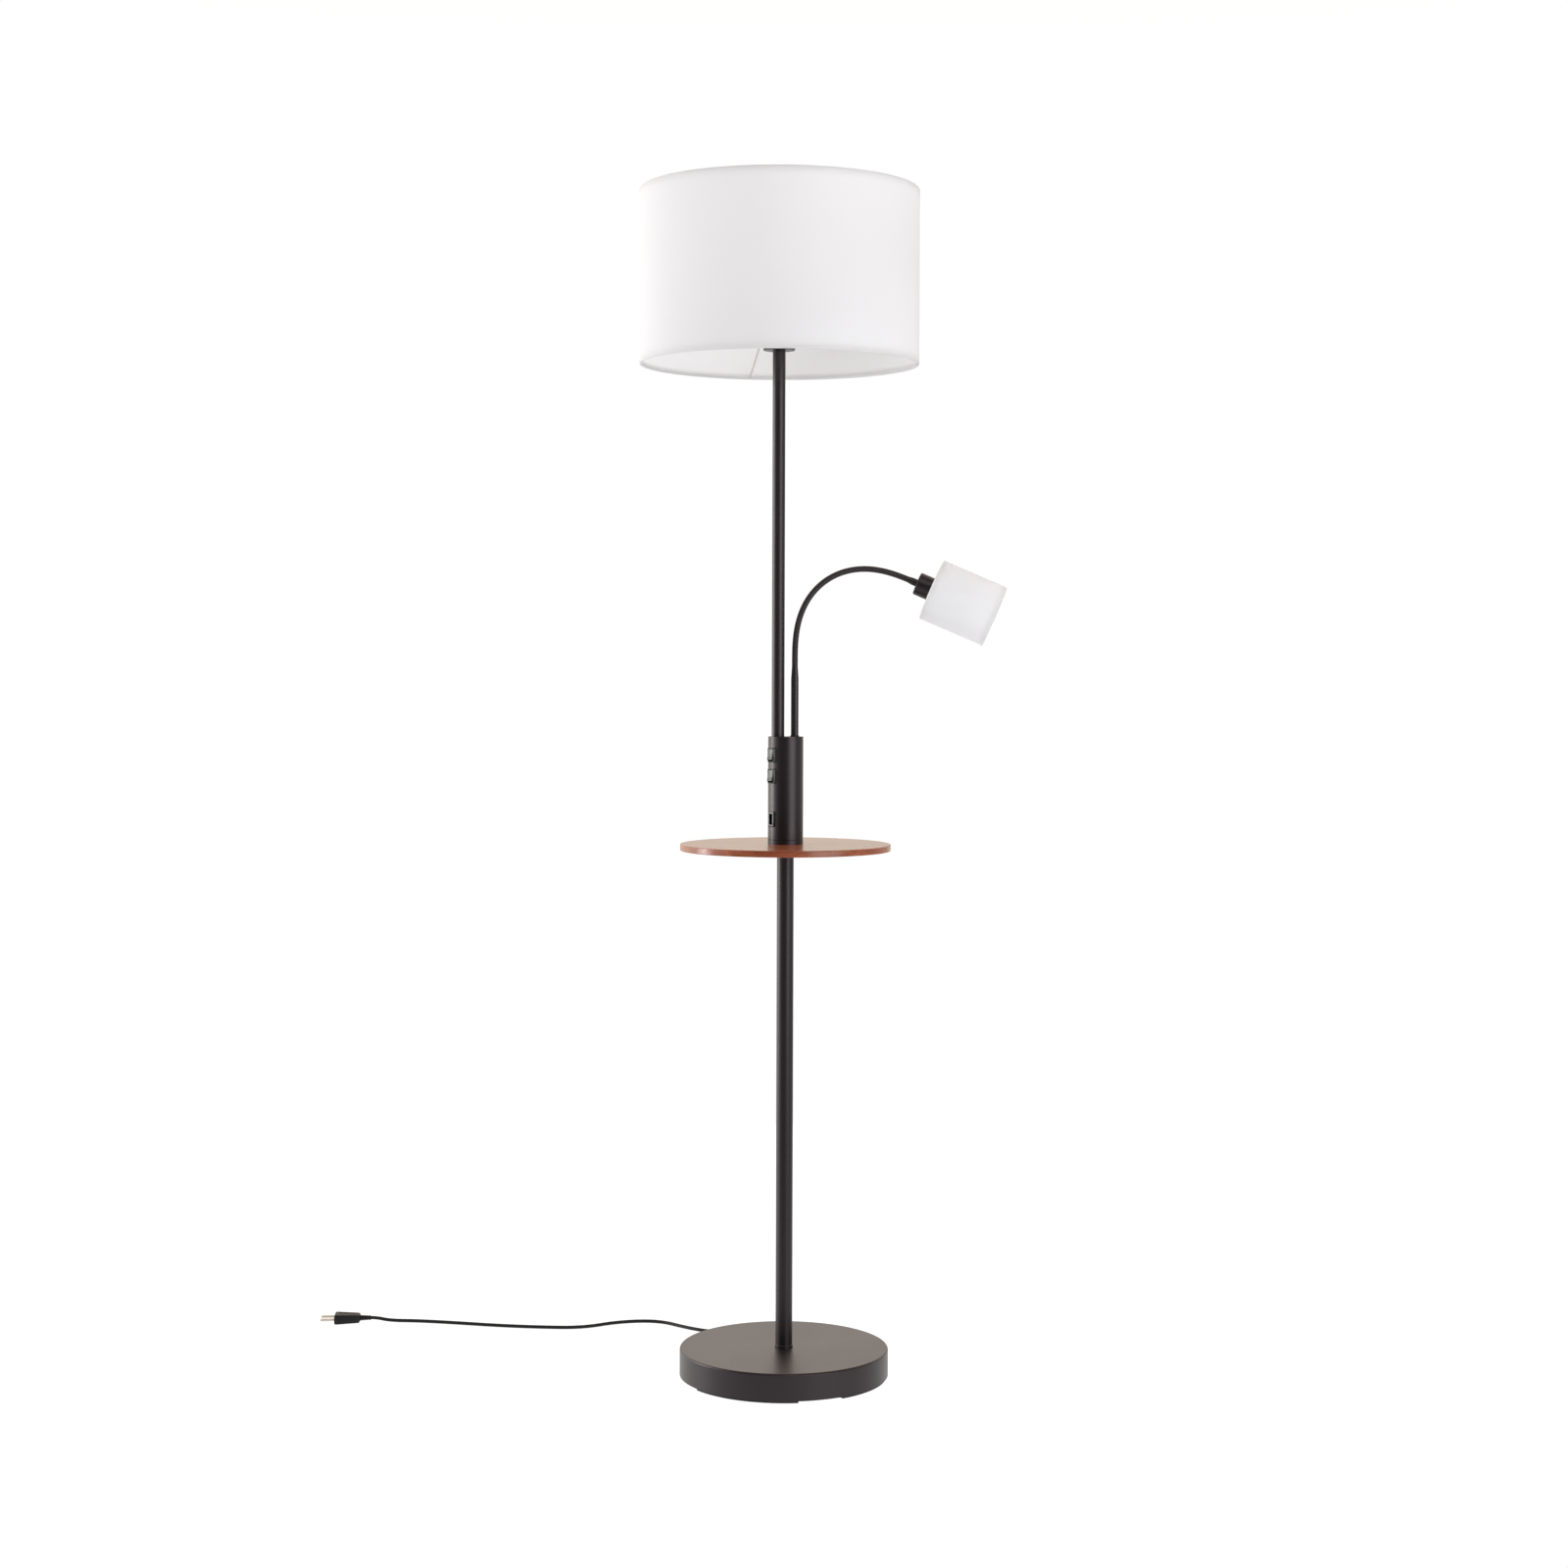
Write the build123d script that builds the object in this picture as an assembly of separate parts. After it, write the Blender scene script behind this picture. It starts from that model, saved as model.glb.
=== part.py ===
from build123d import *
import os
from math import cos, hypot, pi, radians, sin, sqrt, tan

# Shelf floor lamp: a weighted round base carries a pole, a round wooden shelf, a control housing with
# two rocker switches and a charging socket, a drum shade on a second pole, and a reading lamp on a
# gooseneck. Millimetres and degrees. The origin is the centre of the base on the floor, +Z is up, the
# front is -Y and the reading arm reaches towards +X.

# Room between pieces that fit into each other
slip = 0.1
rocker_room = 0.3
pivot_room = 0.05
bulb_room = 0.3

# Base
base_diameter = 260.0
base_cover_height = 33.0
base_sheet = 1.0
base_edge_radius = 2.5
base_plate_thickness = 1.2
base_plate_room = 0.2
base_weight_thickness = 12.0
base_weight_room = 0.8
foot_height = 2.6
foot_width = 16.0
foot_inset = 2.0
foot_count = 4
foot_span = 64.0
foot_turn = -24.0

# Hollow threaded nipples, hex nuts and inserts that hold the stack together, and the cables in it
nipple_diameter = 10.0
nipple_bore = 7.0
nipple_stand_out = 0.6
nipple_grip = 12.0
nut_across_flats = 14.0
nut_height = 4.0
insert_height = 14.0
cable_diameter = 5.8
cable_bend_radius = 8.0
cable_tail = 6.0

# Poles
pole_diameter = 21.0
pole_wall = 1.2
pole_length = 616.4
pole_ring_diameter = 22.4
pole_ring_height = 3.0
pole_ring_chamfer = 0.6
upper_pole_diameter = 16.0
upper_pole_wall = 1.0
upper_pole_length = 482.0
upper_pole_x = -9.7

# Shelf
shelf_diameter = 263.0
shelf_thickness = 8.0
shelf_edge_radius = 0.8

# Control housing
housing_diameter = 44.0
housing_wall = 1.2
housing_height = 134.0
housing_foot_height = 6.0
housing_foot_groove = 0.6
housing_foot_floor = 3.0
housing_lid_thickness = 3.0
housing_spigot_height = 6.0
housing_spigot_wall = 2.2
lid_groove_height = 0.7
lid_groove_depth = 0.5

# Rocker switches and charging socket, turned from the front to the left
control_turn = 52.4
switch_drops = (22.7, 49.0)
switch_bezel_width = 13.0
switch_bezel_height = 18.2
switch_bezel_rim = 1.2
switch_bezel_proud = 1.8
switch_body_width = 12.0
switch_body_height = 16.8
switch_body_depth = 11.0
switch_side_wall = 1.0
rocker_length = 13.6
rocker_crown = 5.1
rocker_dip = 0.5
rocker_flank = 0.8
rocker_shoulder = 0.6
rocker_back_width = 3.6
rocker_back_depth = 1.5
rocker_tilt = 10.0
rocker_pivot_depth = 3.8
rocker_pivot_diameter = 2.0
rocker_pivot_grip = 0.7
rocker_pocket_depth = 6.4
usb_rise = 31.5
usb_bezel_width = 11.5
usb_bezel_height = 19.0
usb_bezel_proud = 1.4
usb_body_width = 8.6
usb_body_height = 16.0
usb_back_wall = 1.0
usb_opening_width = 5.12
usb_opening_height = 12.5
usb_shell_wall = 0.35
usb_shell_setback = 0.4
usb_depth = 13.0
usb_tongue_thickness = 1.84
usb_tongue_height = 11.1
usb_tongue_length = 8.4
usb_tongue_offset = 0.7
board_width = 28.0
board_height = 60.0
board_thickness = 1.6
board_y = 8.0
transformer_size = (16.0, 8.0, 14.0)
transformer_rise = 16.0
terminal_size = (20.0, 8.0, 10.0)
terminal_rise = 36.0

# Main lampholder, drum shade with its wire frame, and bulb
holder_cap_diameter = 39.5
holder_cap_height = 20.0
holder_cap_wall = 2.5
holder_diameter = 39.0
holder_height = 31.0
holder_floor = 4.0
clamp_ring_width = 6.0
clamp_ring_height = 6.3
clamp_ring_drop = 3.5
shade_diameter = 350.0
shade_height = 217.0
shade_skirt = 18.0
shade_wall = 0.8
shade_ring_wire = 3.0
shade_ring_inset = 0.3
hub_width = 8.0
hub_thickness = 1.5
spoke_wire = 2.4
spoke_count = 3
spoke_turn = 103.0
spoke_level_radius = 74.0
spoke_bend_radius = 14.0
spoke_room = 0.4
bulb_thread_diameter = 26.4
bulb_cap_height = 27.0
bulb_neck_diameter = 26.0
bulb_diameter = 60.0
bulb_length = 110.0
bulb_glass = 1.0

# Stem and gooseneck
stem_x = 11.1
stem_diameter = 9.5
stem_straight = 70.5
stem_taper = 16.5
stem_bore = 4.0
stem_thread_diameter = 8.0
stem_nut_across_flats = 12.0
gasket_diameter = 11.0
gasket_thickness = 1.5
neck_length = 237.5
neck_lead = 3.0
neck_turn = 113.4
neck_plane_turn = 5.5
neck_diameter = 7.4
neck_bore = 2.4
neck_joint_count = 10
neck_rib_pitch = 1.75
neck_rib_depth = 0.4
neck_ball_diameter = 5.2
neck_ball_room = 0.25
neck_shoulder_setback = 1.95

# Reading lamp at the end of the gooseneck
ferrule_length = 13.0
ferrule_diameter = 9.2
ferrule_cone = 7.0
ferrule_thread_diameter = 6.0
ferrule_grip = 4.0
cup_diameter = 29.0
cup_length = 20.0
cup_wall = 1.2
cup_back = 2.0
reading_holder_diameter = 24.0
reading_holder_setback = 1.0
reading_holder_reach = 16.0
reading_flange_thickness = 1.2
reading_clamp_width = 5.0
reading_clamp_height = 5.0
carrier_thickness = 1.2
carrier_bar_width = 4.0
carrier_rim_width = 2.4
carrier_bar_count = 3
reading_shade_diameter = 78.0
reading_shade_length = 85.0
reading_ring_wire = 2.4
reading_thread_diameter = 13.9
reading_cap_height = 22.0
reading_neck_diameter = 14.0
reading_bulb_diameter = 45.0
reading_bulb_length = 78.0

# Mains cord, its gland, coil, tie and plug
cord_diameter = 4.6
cord_floor_room = 0.05
gland_length = 20.0
gland_base_diameter = 8.8
gland_tip_diameter = 6.4
gland_neck_diameter = 7.2
gland_flange = 2.5
coil_centre_y = 178.0
coil_inner_radius = 17.0
coil_pitch = 5.1
coil_rise = 1.0
coil_quarters_in = 14
coil_quarters_out = 15
tie_width = 6.0
tie_thickness = 0.6
tie_room = 0.35
tie_side_room = 0.8
cord_straight = 8.0
plug_tail_length = 14.0
plug_tail_diameter = 8.0
plug_tail_tip_diameter = 6.2
plug_length = 34.0
plug_width = 25.0
plug_thickness = 13.0
plug_edge_radius = 4.0
pin_diameter = 4.0
pin_length = 19.0
pin_spacing = 18.6
pin_chamfer = 0.8
arc_share = 0.45
# Points of the free run on the floor, which lies in loose bends from the coil to the plug on the left
cord_run = [
    (-62.0, 212.5),
    (-95.0, 202.0),
    (-131.0, 226.0),
    (-168.0, 262.0),
    (-222.0, 256.0),
    (-268.0, 223.0),
    (-325.0, 225.0),
    (-384.0, 233.5),
    (-440.0, 247.0),
    (-493.0, 257.5),
    (-530.0, 258.5),
]
cord_end = (-556.0, 256.5)

# Heights of the stack, from the floor up
base_top = foot_height + base_cover_height
weight_top = base_top - base_sheet
weight_bottom = weight_top - base_weight_thickness
pole_bottom = base_top + pole_ring_height
pole_top = pole_bottom + pole_length
shelf_top = pole_top + shelf_thickness
housing_floor = shelf_top + housing_foot_floor
housing_shoulder = shelf_top + housing_foot_height
housing_top = shelf_top + housing_height
lid_bottom = housing_top - housing_lid_thickness
upper_pole_top = housing_top + upper_pole_length
cap_floor = upper_pole_top + holder_cap_wall
holder_bottom = upper_pole_top + holder_cap_height
holder_top = holder_bottom + holder_height
hub_top = holder_top - clamp_ring_drop - clamp_ring_height
hub_bottom = hub_top - hub_thickness
shade_bottom = upper_pole_top - shade_skirt
shade_top = shade_bottom + shade_height
stem_foot = housing_top + gasket_thickness
neck_foot = stem_foot + stem_straight + stem_taper
cord_radius = cord_diameter / 2
cord_floor = cord_radius + cord_floor_room
coil_low = cord_radius + coil_rise
coil_high = coil_low + coil_pitch

# Holes and inner sizes that follow from what goes through or into them
nipple_hole = nipple_diameter + 2 * slip
stem_hole = stem_thread_diameter + 2 * slip
housing_bore = housing_diameter - 2 * housing_wall
spigot_diameter = housing_bore - 2 * slip
spigot_bore = spigot_diameter - 2 * housing_spigot_wall
clamp_bore = holder_diameter + 2 * slip
clamp_diameter = clamp_bore + 2 * clamp_ring_width
shade_ring_diameter = shade_diameter - 2 * (shade_wall + slip) - shade_ring_wire
reading_clamp_bore = reading_holder_diameter + 2 * slip
reading_clamp_diameter = reading_clamp_bore + 2 * reading_clamp_width

# Directions: the controls face along control_out, and the gooseneck lies in the plane of neck_out and
# +Z, whose normal is neck_side
up = Vector(0, 0, 1)
control_out = Vector(-sin(radians(control_turn)), -cos(radians(control_turn)), 0)
control_along = up.cross(control_out)
neck_out = Vector(cos(radians(neck_plane_turn)), -sin(radians(neck_plane_turn)), 0)
neck_side = up.cross(neck_out)


# Shared shapes


def disc(diameter, low, high):
    """Upright cylinder between two heights."""
    return Pos(0, 0, low) * extrude(Circle(diameter / 2), high - low)


def tube(outer, inner, low, high):
    """Upright tube between two heights, sized by its diameters."""
    return Pos(0, 0, low) * extrude(Circle(outer / 2) - Circle(inner / 2), high - low)


def block(size, centre_x, centre_y, low):
    """Box of a given size standing on the height low."""
    return Pos(centre_x, centre_y, low + size[2] / 2) * Box(*size)


def straight(*points):
    """Straight sides of a turned outline through (radius, height) points."""
    return list(Polyline(*[(radius, 0, height) for radius, height in points]).edges())


def bend(start, middle, end):
    """Arc of a turned outline through three (radius, height) points."""
    return [Edge.make_three_point_arc(*[(radius, 0, height) for radius, height in (start, middle, end)])]


def turned(*runs):
    """Solid turned about Z from runs of edges that close an outline."""
    return revolve(make_face([edge for run in runs for edge in run]), Axis.Z)


def turned_outline(*points):
    """Solid turned about Z from a closed outline with straight sides."""
    return turned(straight(*points, points[0]))


def quarter_middle(centre, radius, sign_r, sign_z):
    """Middle of a quarter circle about a (radius, height) centre, in the corner given by the signs."""
    return (centre[0] + sign_r * radius * sqrt(0.5), centre[1] + sign_z * radius * sqrt(0.5))


def floor_point(radius, angle):
    """Point in a level plane at a radius and an angle from +X."""
    return (radius * cos(radians(angle)), radius * sin(radians(angle)))


def rod(path, diameter):
    """Round bar along a path."""
    return sweep((path ^ 0) * Circle(diameter / 2), path)


def nipple(low, high):
    """Hollow threaded tube between two heights."""
    return tube(nipple_diameter, nipple_bore, low, high)


def hex_nut(across_flats, bore, low):
    """Hex nut standing on the height low."""
    outline = RegularPolygon(across_flats / 2, 6, major_radius=False) - Circle(bore / 2)
    return Pos(0, 0, low) * extrude(outline, nut_height)


def bulb_pair(thread, cap_height, neck, globe, length, low):
    """Screw cap and globe of a bulb that stands on the height low."""
    cap_top = low + cap_height
    tip = thread / 6
    cap = turned_outline(
        (0, low),
        (tip, low),
        (thread / 2, low + thread / 5),
        (thread / 2, cap_top),
        (0, cap_top),
    )
    top = low + length
    thin = 2 * bulb_glass
    hollow = pear(neck - thin, globe - thin, cap_top, top - bulb_glass)
    return cap, pear(neck, globe, cap_top, top) - hollow


def pear(neck, diameter, low, high):
    """Pear-shaped solid from a neck at one height to a round top at another."""
    middle = high - diameter / 2
    waist = ((neck + diameter) / 4 + diameter / 24, (low + middle) / 2)
    return turned(
        straight((0, high), (0, low), (neck / 2, low)),
        bend((neck / 2, low), waist, (diameter / 2, middle)),
        bend((diameter / 2, middle), quarter_middle((0, middle), diameter / 2, 1, 1), (0, high)),
    )


# Base


def base_cover():
    radius = base_diameter / 2
    inner = radius - base_sheet
    edge = base_edge_radius
    inner_edge = base_edge_radius - base_sheet
    corner = (radius - edge, base_top - edge)
    shell = turned(
        straight((inner, foot_height), (radius, foot_height), (radius, corner[1])),
        bend((radius, corner[1]), quarter_middle(corner, edge, 1, 1), (corner[0], base_top)),
        straight(
            (corner[0], base_top),
            (nipple_hole / 2, base_top),
            (nipple_hole / 2, weight_top),
            (corner[0], weight_top),
        ),
        bend((corner[0], weight_top), quarter_middle(corner, inner_edge, 1, 1), (inner, corner[1])),
        straight((inner, corner[1]), (inner, foot_height)),
    )
    hole = Cylinder(gland_neck_diameter / 2 + slip, 8 * base_sheet)
    return shell - Pos(0, radius, coil_high) * Rot(X=90) * hole


def base_weight():
    edge = base_diameter - 2 * (base_edge_radius + base_weight_room)
    return tube(edge, nipple_hole, weight_bottom, weight_top)


def base_plate():
    edge = base_diameter - 2 * (base_sheet + base_plate_room)
    return disc(edge, foot_height, foot_height + base_plate_thickness)


def base_feet():
    outer = base_diameter / 2 - foot_inset
    inner = outer - foot_width
    feet = []
    for index in range(foot_count):
        first = -90 + foot_turn - foot_span / 2 + index * 360 / foot_count
        last = first + foot_span
        sides = [
            CenterArc((0, 0), outer, first, foot_span),
            Line(floor_point(outer, last), floor_point(inner, last)),
            CenterArc((0, 0), inner, first, foot_span),
            Line(floor_point(inner, first), floor_point(outer, first)),
        ]
        feet.append(extrude(make_face([side.edge() for side in sides]), foot_height))
    return feet


def cord_gland():
    """Tapered strain relief through the cover's rear wall, with a flange inside."""
    wall_inside = sqrt((base_diameter / 2 - base_sheet) ** 2 - (gland_base_diameter / 2) ** 2) - slip
    neck_end = wall_inside - base_diameter / 2
    body = turned_outline(
        (0, neck_end - gland_flange),
        (gland_base_diameter / 2, neck_end - gland_flange),
        (gland_base_diameter / 2, neck_end),
        (gland_neck_diameter / 2, neck_end),
        (gland_neck_diameter / 2, 0),
        (gland_base_diameter / 2, 0),
        (gland_tip_diameter / 2, gland_length),
        (0, gland_length),
    )
    return gland_plane().location * body, base_diameter / 2 + neck_end - gland_flange


def gland_plane():
    """Frame of the gland at the cover's rear wall, with Z pointing out of the base."""
    return Plane((0, base_diameter / 2, coil_high), x_dir=(1, 0, 0), z_dir=(0, 1, 0))


# Poles, shelf and what holds them


def pole_foot_ring():
    edge = pole_ring_diameter / 2
    return turned_outline(
        (nipple_hole / 2, base_top),
        (edge, base_top),
        (edge, pole_bottom - pole_ring_chamfer),
        (edge - pole_ring_chamfer, pole_bottom),
        (nipple_hole / 2, pole_bottom),
    )


def lower_pole():
    return tube(pole_diameter, pole_diameter - 2 * pole_wall, pole_bottom, pole_top)


def upper_pole():
    bore = upper_pole_diameter - 2 * upper_pole_wall
    return Pos(X=upper_pole_x) * tube(upper_pole_diameter, bore, housing_top, upper_pole_top)


def pole_inserts():
    lower = pole_diameter - 2 * (pole_wall + slip)
    upper = upper_pole_diameter - 2 * (upper_pole_wall + slip)
    return [
        tube(lower, nipple_hole, pole_bottom, pole_bottom + insert_height),
        tube(lower, nipple_hole, pole_top - insert_height, pole_top),
        Pos(X=upper_pole_x) * tube(upper, nipple_hole, housing_top, housing_top + insert_height),
        Pos(X=upper_pole_x) * tube(upper, nipple_hole, upper_pole_top - insert_height, upper_pole_top),
    ]


def threaded_nipples():
    spare = nut_height + nipple_stand_out
    return [
        nipple(weight_bottom - spare, pole_bottom + nipple_grip),
        nipple(pole_top - nipple_grip, housing_floor + spare),
        Pos(X=upper_pole_x) * nipple(lid_bottom - spare, housing_top + nipple_grip),
        Pos(X=upper_pole_x) * nipple(upper_pole_top - nipple_grip, cap_floor + spare),
    ]


def hex_nuts():
    return [
        hex_nut(nut_across_flats, nipple_hole, weight_bottom - nut_height),
        hex_nut(nut_across_flats, nipple_hole, housing_floor),
        Pos(X=upper_pole_x) * hex_nut(nut_across_flats, nipple_hole, lid_bottom - nut_height),
        Pos(X=upper_pole_x) * hex_nut(nut_across_flats, nipple_hole, cap_floor),
        Pos(X=stem_x) * hex_nut(stem_nut_across_flats, stem_hole, lid_bottom - nut_height),
    ]


def inner_cables(gland_inside):
    """Cable from the gland up the lower pole, and cable through the upper pole."""
    spare = nut_height + nipple_stand_out
    lower_path = FilletPolyline(
        (0, gland_inside, coil_high),
        (0, 0, coil_high),
        (0, 0, housing_floor + spare + cable_tail),
        radius=cable_bend_radius,
    )
    upper = disc(cable_diameter, lid_bottom - spare - cable_tail, cap_floor + spare + cable_tail)
    return [rod(lower_path, cable_diameter), Pos(X=upper_pole_x) * upper]


def shelf():
    board = disc(shelf_diameter, pole_top, shelf_top)
    board = fillet(board.edges().filter_by(GeomType.CIRCLE), shelf_edge_radius)
    return board - disc(nipple_hole, pole_top, shelf_top)


# Control housing


def housing_foot():
    edge = housing_diameter / 2
    spigot_top = housing_shoulder + housing_spigot_height
    return turned_outline(
        (nipple_hole / 2, shelf_top),
        (edge, shelf_top),
        (edge, housing_shoulder - housing_foot_groove),
        (edge - housing_foot_groove, housing_shoulder),
        (spigot_diameter / 2, housing_shoulder),
        (spigot_diameter / 2, spigot_top),
        (spigot_bore / 2, spigot_top),
        (spigot_bore / 2, housing_floor),
        (nipple_hole / 2, housing_floor),
    )


def control_plane(height):
    """Frame on the housing's axis: X along the wall, Y up, Z out through the controls."""
    return Plane((0, 0, height), x_dir=control_along, z_dir=control_out)


def switch_heights():
    return [housing_top - drop for drop in switch_drops]


def usb_height():
    return shelf_top + usb_rise


def wall_box(width, height, inner, outer):
    """Box in a control frame, between two distances from the housing's axis."""
    return Pos(0, 0, (inner + outer) / 2) * Box(width, height, outer - inner)


def wall_frame(width, height, proud):
    """Flat bezel whose back follows the housing's round wall."""
    radius = housing_diameter / 2
    plate = wall_box(width, height, radius / 2, radius + proud)
    return plate - Rot(X=90) * Cylinder(radius, 2 * height)


def housing_tube():
    wall = tube(housing_diameter, housing_bore, housing_shoulder, lid_bottom)
    radius = housing_diameter / 2
    switch_window = wall_box(
        switch_body_width + 2 * slip, switch_body_height + 2 * slip, radius / 2, 2 * radius
    )
    usb_window = wall_box(usb_body_width + 2 * slip, usb_body_height + 2 * slip, radius / 2, 2 * radius)
    for height in switch_heights():
        wall -= control_plane(height).location * switch_window
    return wall - control_plane(usb_height()).location * usb_window


def housing_lid():
    edge = housing_diameter / 2
    groove_top = lid_bottom + lid_groove_height
    spigot_bottom = lid_bottom - housing_spigot_height
    lid = turned_outline(
        (0, lid_bottom),
        (spigot_bore / 2, lid_bottom),
        (spigot_bore / 2, spigot_bottom),
        (spigot_diameter / 2, spigot_bottom),
        (spigot_diameter / 2, lid_bottom),
        (edge - lid_groove_depth, lid_bottom),
        (edge - lid_groove_depth, groove_top),
        (edge, groove_top),
        (edge, housing_top),
        (0, housing_top),
    )
    lid -= Pos(X=upper_pole_x) * disc(nipple_hole, lid_bottom, housing_top)
    return lid - Pos(X=stem_x) * disc(stem_hole, lid_bottom, housing_top)


def switch_body():
    """Bezel and body of a rocker switch in a control frame, with the rocker's pocket and pivot holes."""
    radius = housing_diameter / 2
    face = radius + switch_bezel_proud
    body = wall_box(switch_body_width, switch_body_height, radius - switch_body_depth, radius)
    body += wall_frame(switch_bezel_width, switch_bezel_height, switch_bezel_proud)
    pocket_height = switch_bezel_height - 2 * switch_bezel_rim
    body -= wall_box(rocker_pocket_width(), pocket_height, face - rocker_pocket_depth, 2 * face)
    pivot_hole = Rot(Y=90) * Cylinder(rocker_pivot_diameter / 2 + pivot_room, switch_bezel_width)
    return body - Pos(0, 0, face - rocker_pivot_depth) * pivot_hole


def rocker_pocket_width():
    return switch_body_width - 2 * switch_side_wall


def rocker_axis_distance():
    """Distance of a rocker's pivot from the housing's axis."""
    return housing_diameter / 2 + switch_bezel_proud - rocker_pivot_depth


def switch_rocker():
    """Rocker in a control frame, tipped so that its upper end is pressed in."""
    half = rocker_length / 2
    back = rocker_back_width / 2
    side = [
        (-half, rocker_crown),
        (-half + rocker_flank, rocker_shoulder),
        (-back, -rocker_back_depth),
        (back, -rocker_back_depth),
        (half - rocker_flank, rocker_shoulder),
        (half, rocker_crown),
        (0, rocker_crown - rocker_dip),
    ]
    width = rocker_pocket_width() - 2 * rocker_room
    outline = make_face(Polyline(*[(0, y, z) for y, z in side], close=True).edges())
    rocker = Pos(X=-width / 2) * extrude(outline, width, dir=(1, 0, 0))
    pin_span = rocker_pocket_width() + 2 * rocker_pivot_grip
    rocker += Rot(Y=90) * Cylinder(rocker_pivot_diameter / 2, pin_span)
    return Pos(0, 0, rocker_axis_distance()) * Rot(X=-rocker_tilt) * rocker


def usb_bezel():
    """Plastic frame and body of the charging socket in a control frame, with the tongue inside."""
    radius = housing_diameter / 2
    face = radius + usb_bezel_proud
    back = face - usb_depth
    shell_width = usb_opening_width + 2 * usb_shell_wall
    shell_height = usb_opening_height + 2 * usb_shell_wall
    body = wall_box(usb_body_width, usb_body_height, back - usb_back_wall, radius)
    body += wall_frame(usb_bezel_width, usb_bezel_height, usb_bezel_proud)
    body -= wall_box(shell_width + 2 * slip, shell_height + 2 * slip, back, 2 * face)
    root = back - usb_back_wall / 2
    tongue = wall_box(usb_tongue_thickness, usb_tongue_height, root, back + usb_tongue_length)
    return body + Pos(X=usb_tongue_offset) * tongue


def usb_shell():
    """Bent sheet-metal shell of the charging socket in a control frame."""
    face = housing_diameter / 2 + usb_bezel_proud
    back = face - usb_depth
    front = face - usb_shell_setback
    width = usb_opening_width + 2 * usb_shell_wall
    height = usb_opening_height + 2 * usb_shell_wall
    hollow = wall_box(usb_opening_width, usb_opening_height, back - 1, front + 1)
    return wall_box(width, height, back, front) - hollow


def usb_power_board():
    """Circuit board standing on the housing's floor, with its transformer and terminal block."""
    board_size = (board_width, board_thickness, board_height)
    board = block(board_size, 0, board_y + board_thickness / 2, housing_floor)
    transformer_low = housing_floor + transformer_rise
    transformer = block(transformer_size, 0, board_y - transformer_size[1] / 2, transformer_low)
    terminal_low = housing_floor + terminal_rise
    terminal = block(terminal_size, 0, board_y - terminal_size[1] / 2, terminal_low)
    return [board, transformer, terminal]


# Main lampholder and shade, modelled on the Z axis and moved to the upper pole


def lampholder_cap():
    edge = holder_cap_diameter / 2
    inner = edge - holder_cap_wall
    return turned_outline(
        (nipple_hole / 2, upper_pole_top),
        (edge, upper_pole_top),
        (edge, holder_bottom),
        (inner, holder_bottom),
        (inner, cap_floor),
        (nipple_hole / 2, cap_floor),
    )


def lampholder_body():
    body = disc(holder_diameter, holder_bottom, holder_top)
    bore = bulb_thread_diameter + 2 * bulb_room
    return body - disc(bore, holder_bottom + holder_floor, holder_top)


def shade_clamp_rings():
    return [
        tube(clamp_diameter, clamp_bore, hub_bottom - clamp_ring_height, hub_bottom),
        tube(clamp_diameter, clamp_bore, hub_top, hub_top + clamp_ring_height),
    ]


def shade_ring(height):
    return Pos(0, 0, height) * Torus(shade_ring_diameter / 2, shade_ring_wire / 2)


def shade_frame():
    """Hub, bent spokes and bottom ring of the drum shade, welded together."""
    ring_height = shade_bottom + shade_ring_wire / 2 + shade_ring_inset
    spoke_height = (hub_bottom + hub_top) / 2
    hub = tube(clamp_bore + 2 * hub_width, clamp_bore, hub_bottom, hub_top)
    path = FilletPolyline(
        (clamp_diameter / 2 + spoke_room, 0, spoke_height),
        (spoke_level_radius, 0, spoke_height),
        (shade_ring_diameter / 2, 0, ring_height),
        radius=spoke_bend_radius,
    )
    spoke = rod(path, spoke_wire)
    frame = hub + shade_ring(ring_height)
    for index in range(spoke_count):
        frame += Rot(Z=spoke_turn + index * 360 / spoke_count) * spoke
    return frame


def shade_top_ring():
    return shade_ring(shade_top - shade_ring_wire / 2 - shade_ring_inset)


def drum_shade():
    return tube(shade_diameter, shade_diameter - 2 * shade_wall, shade_bottom, shade_top)


# Stem and gooseneck


def stem_gasket():
    return tube(gasket_diameter, stem_hole, housing_top, stem_foot)


def arm_stem():
    taper_foot = neck_foot - stem_taper
    tail = lid_bottom - nut_height - nipple_stand_out
    return turned_outline(
        (stem_bore / 2, tail),
        (stem_thread_diameter / 2, tail),
        (stem_thread_diameter / 2, stem_foot),
        (stem_diameter / 2, stem_foot),
        (stem_diameter / 2, taper_foot),
        (neck_diameter / 2, neck_foot),
        (stem_bore / 2, neck_foot),
    )


def neck_direction(distance):
    """Direction of the gooseneck at a distance along it: its turn eases in after a lead, and out."""
    share = max(distance - neck_lead, 0) / (neck_length - neck_lead)
    turn = radians(neck_turn) * (3 * share**2 - 2 * share**3)
    return neck_out * sin(turn) + up * cos(turn)


def neck_point(distance, steps=120):
    """Point on the gooseneck's centre line at a distance from its foot."""
    step = distance / steps
    point = Vector(stem_x, 0, neck_foot)
    for index in range(steps):
        point += neck_direction((index + 0.5) * step) * step
    return point


def head_plane():
    """Frame of the reading lamp at the back of its cup, with Z towards its light."""
    return Plane(neck_point(neck_length), x_dir=neck_side, z_dir=neck_direction(neck_length))


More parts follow.
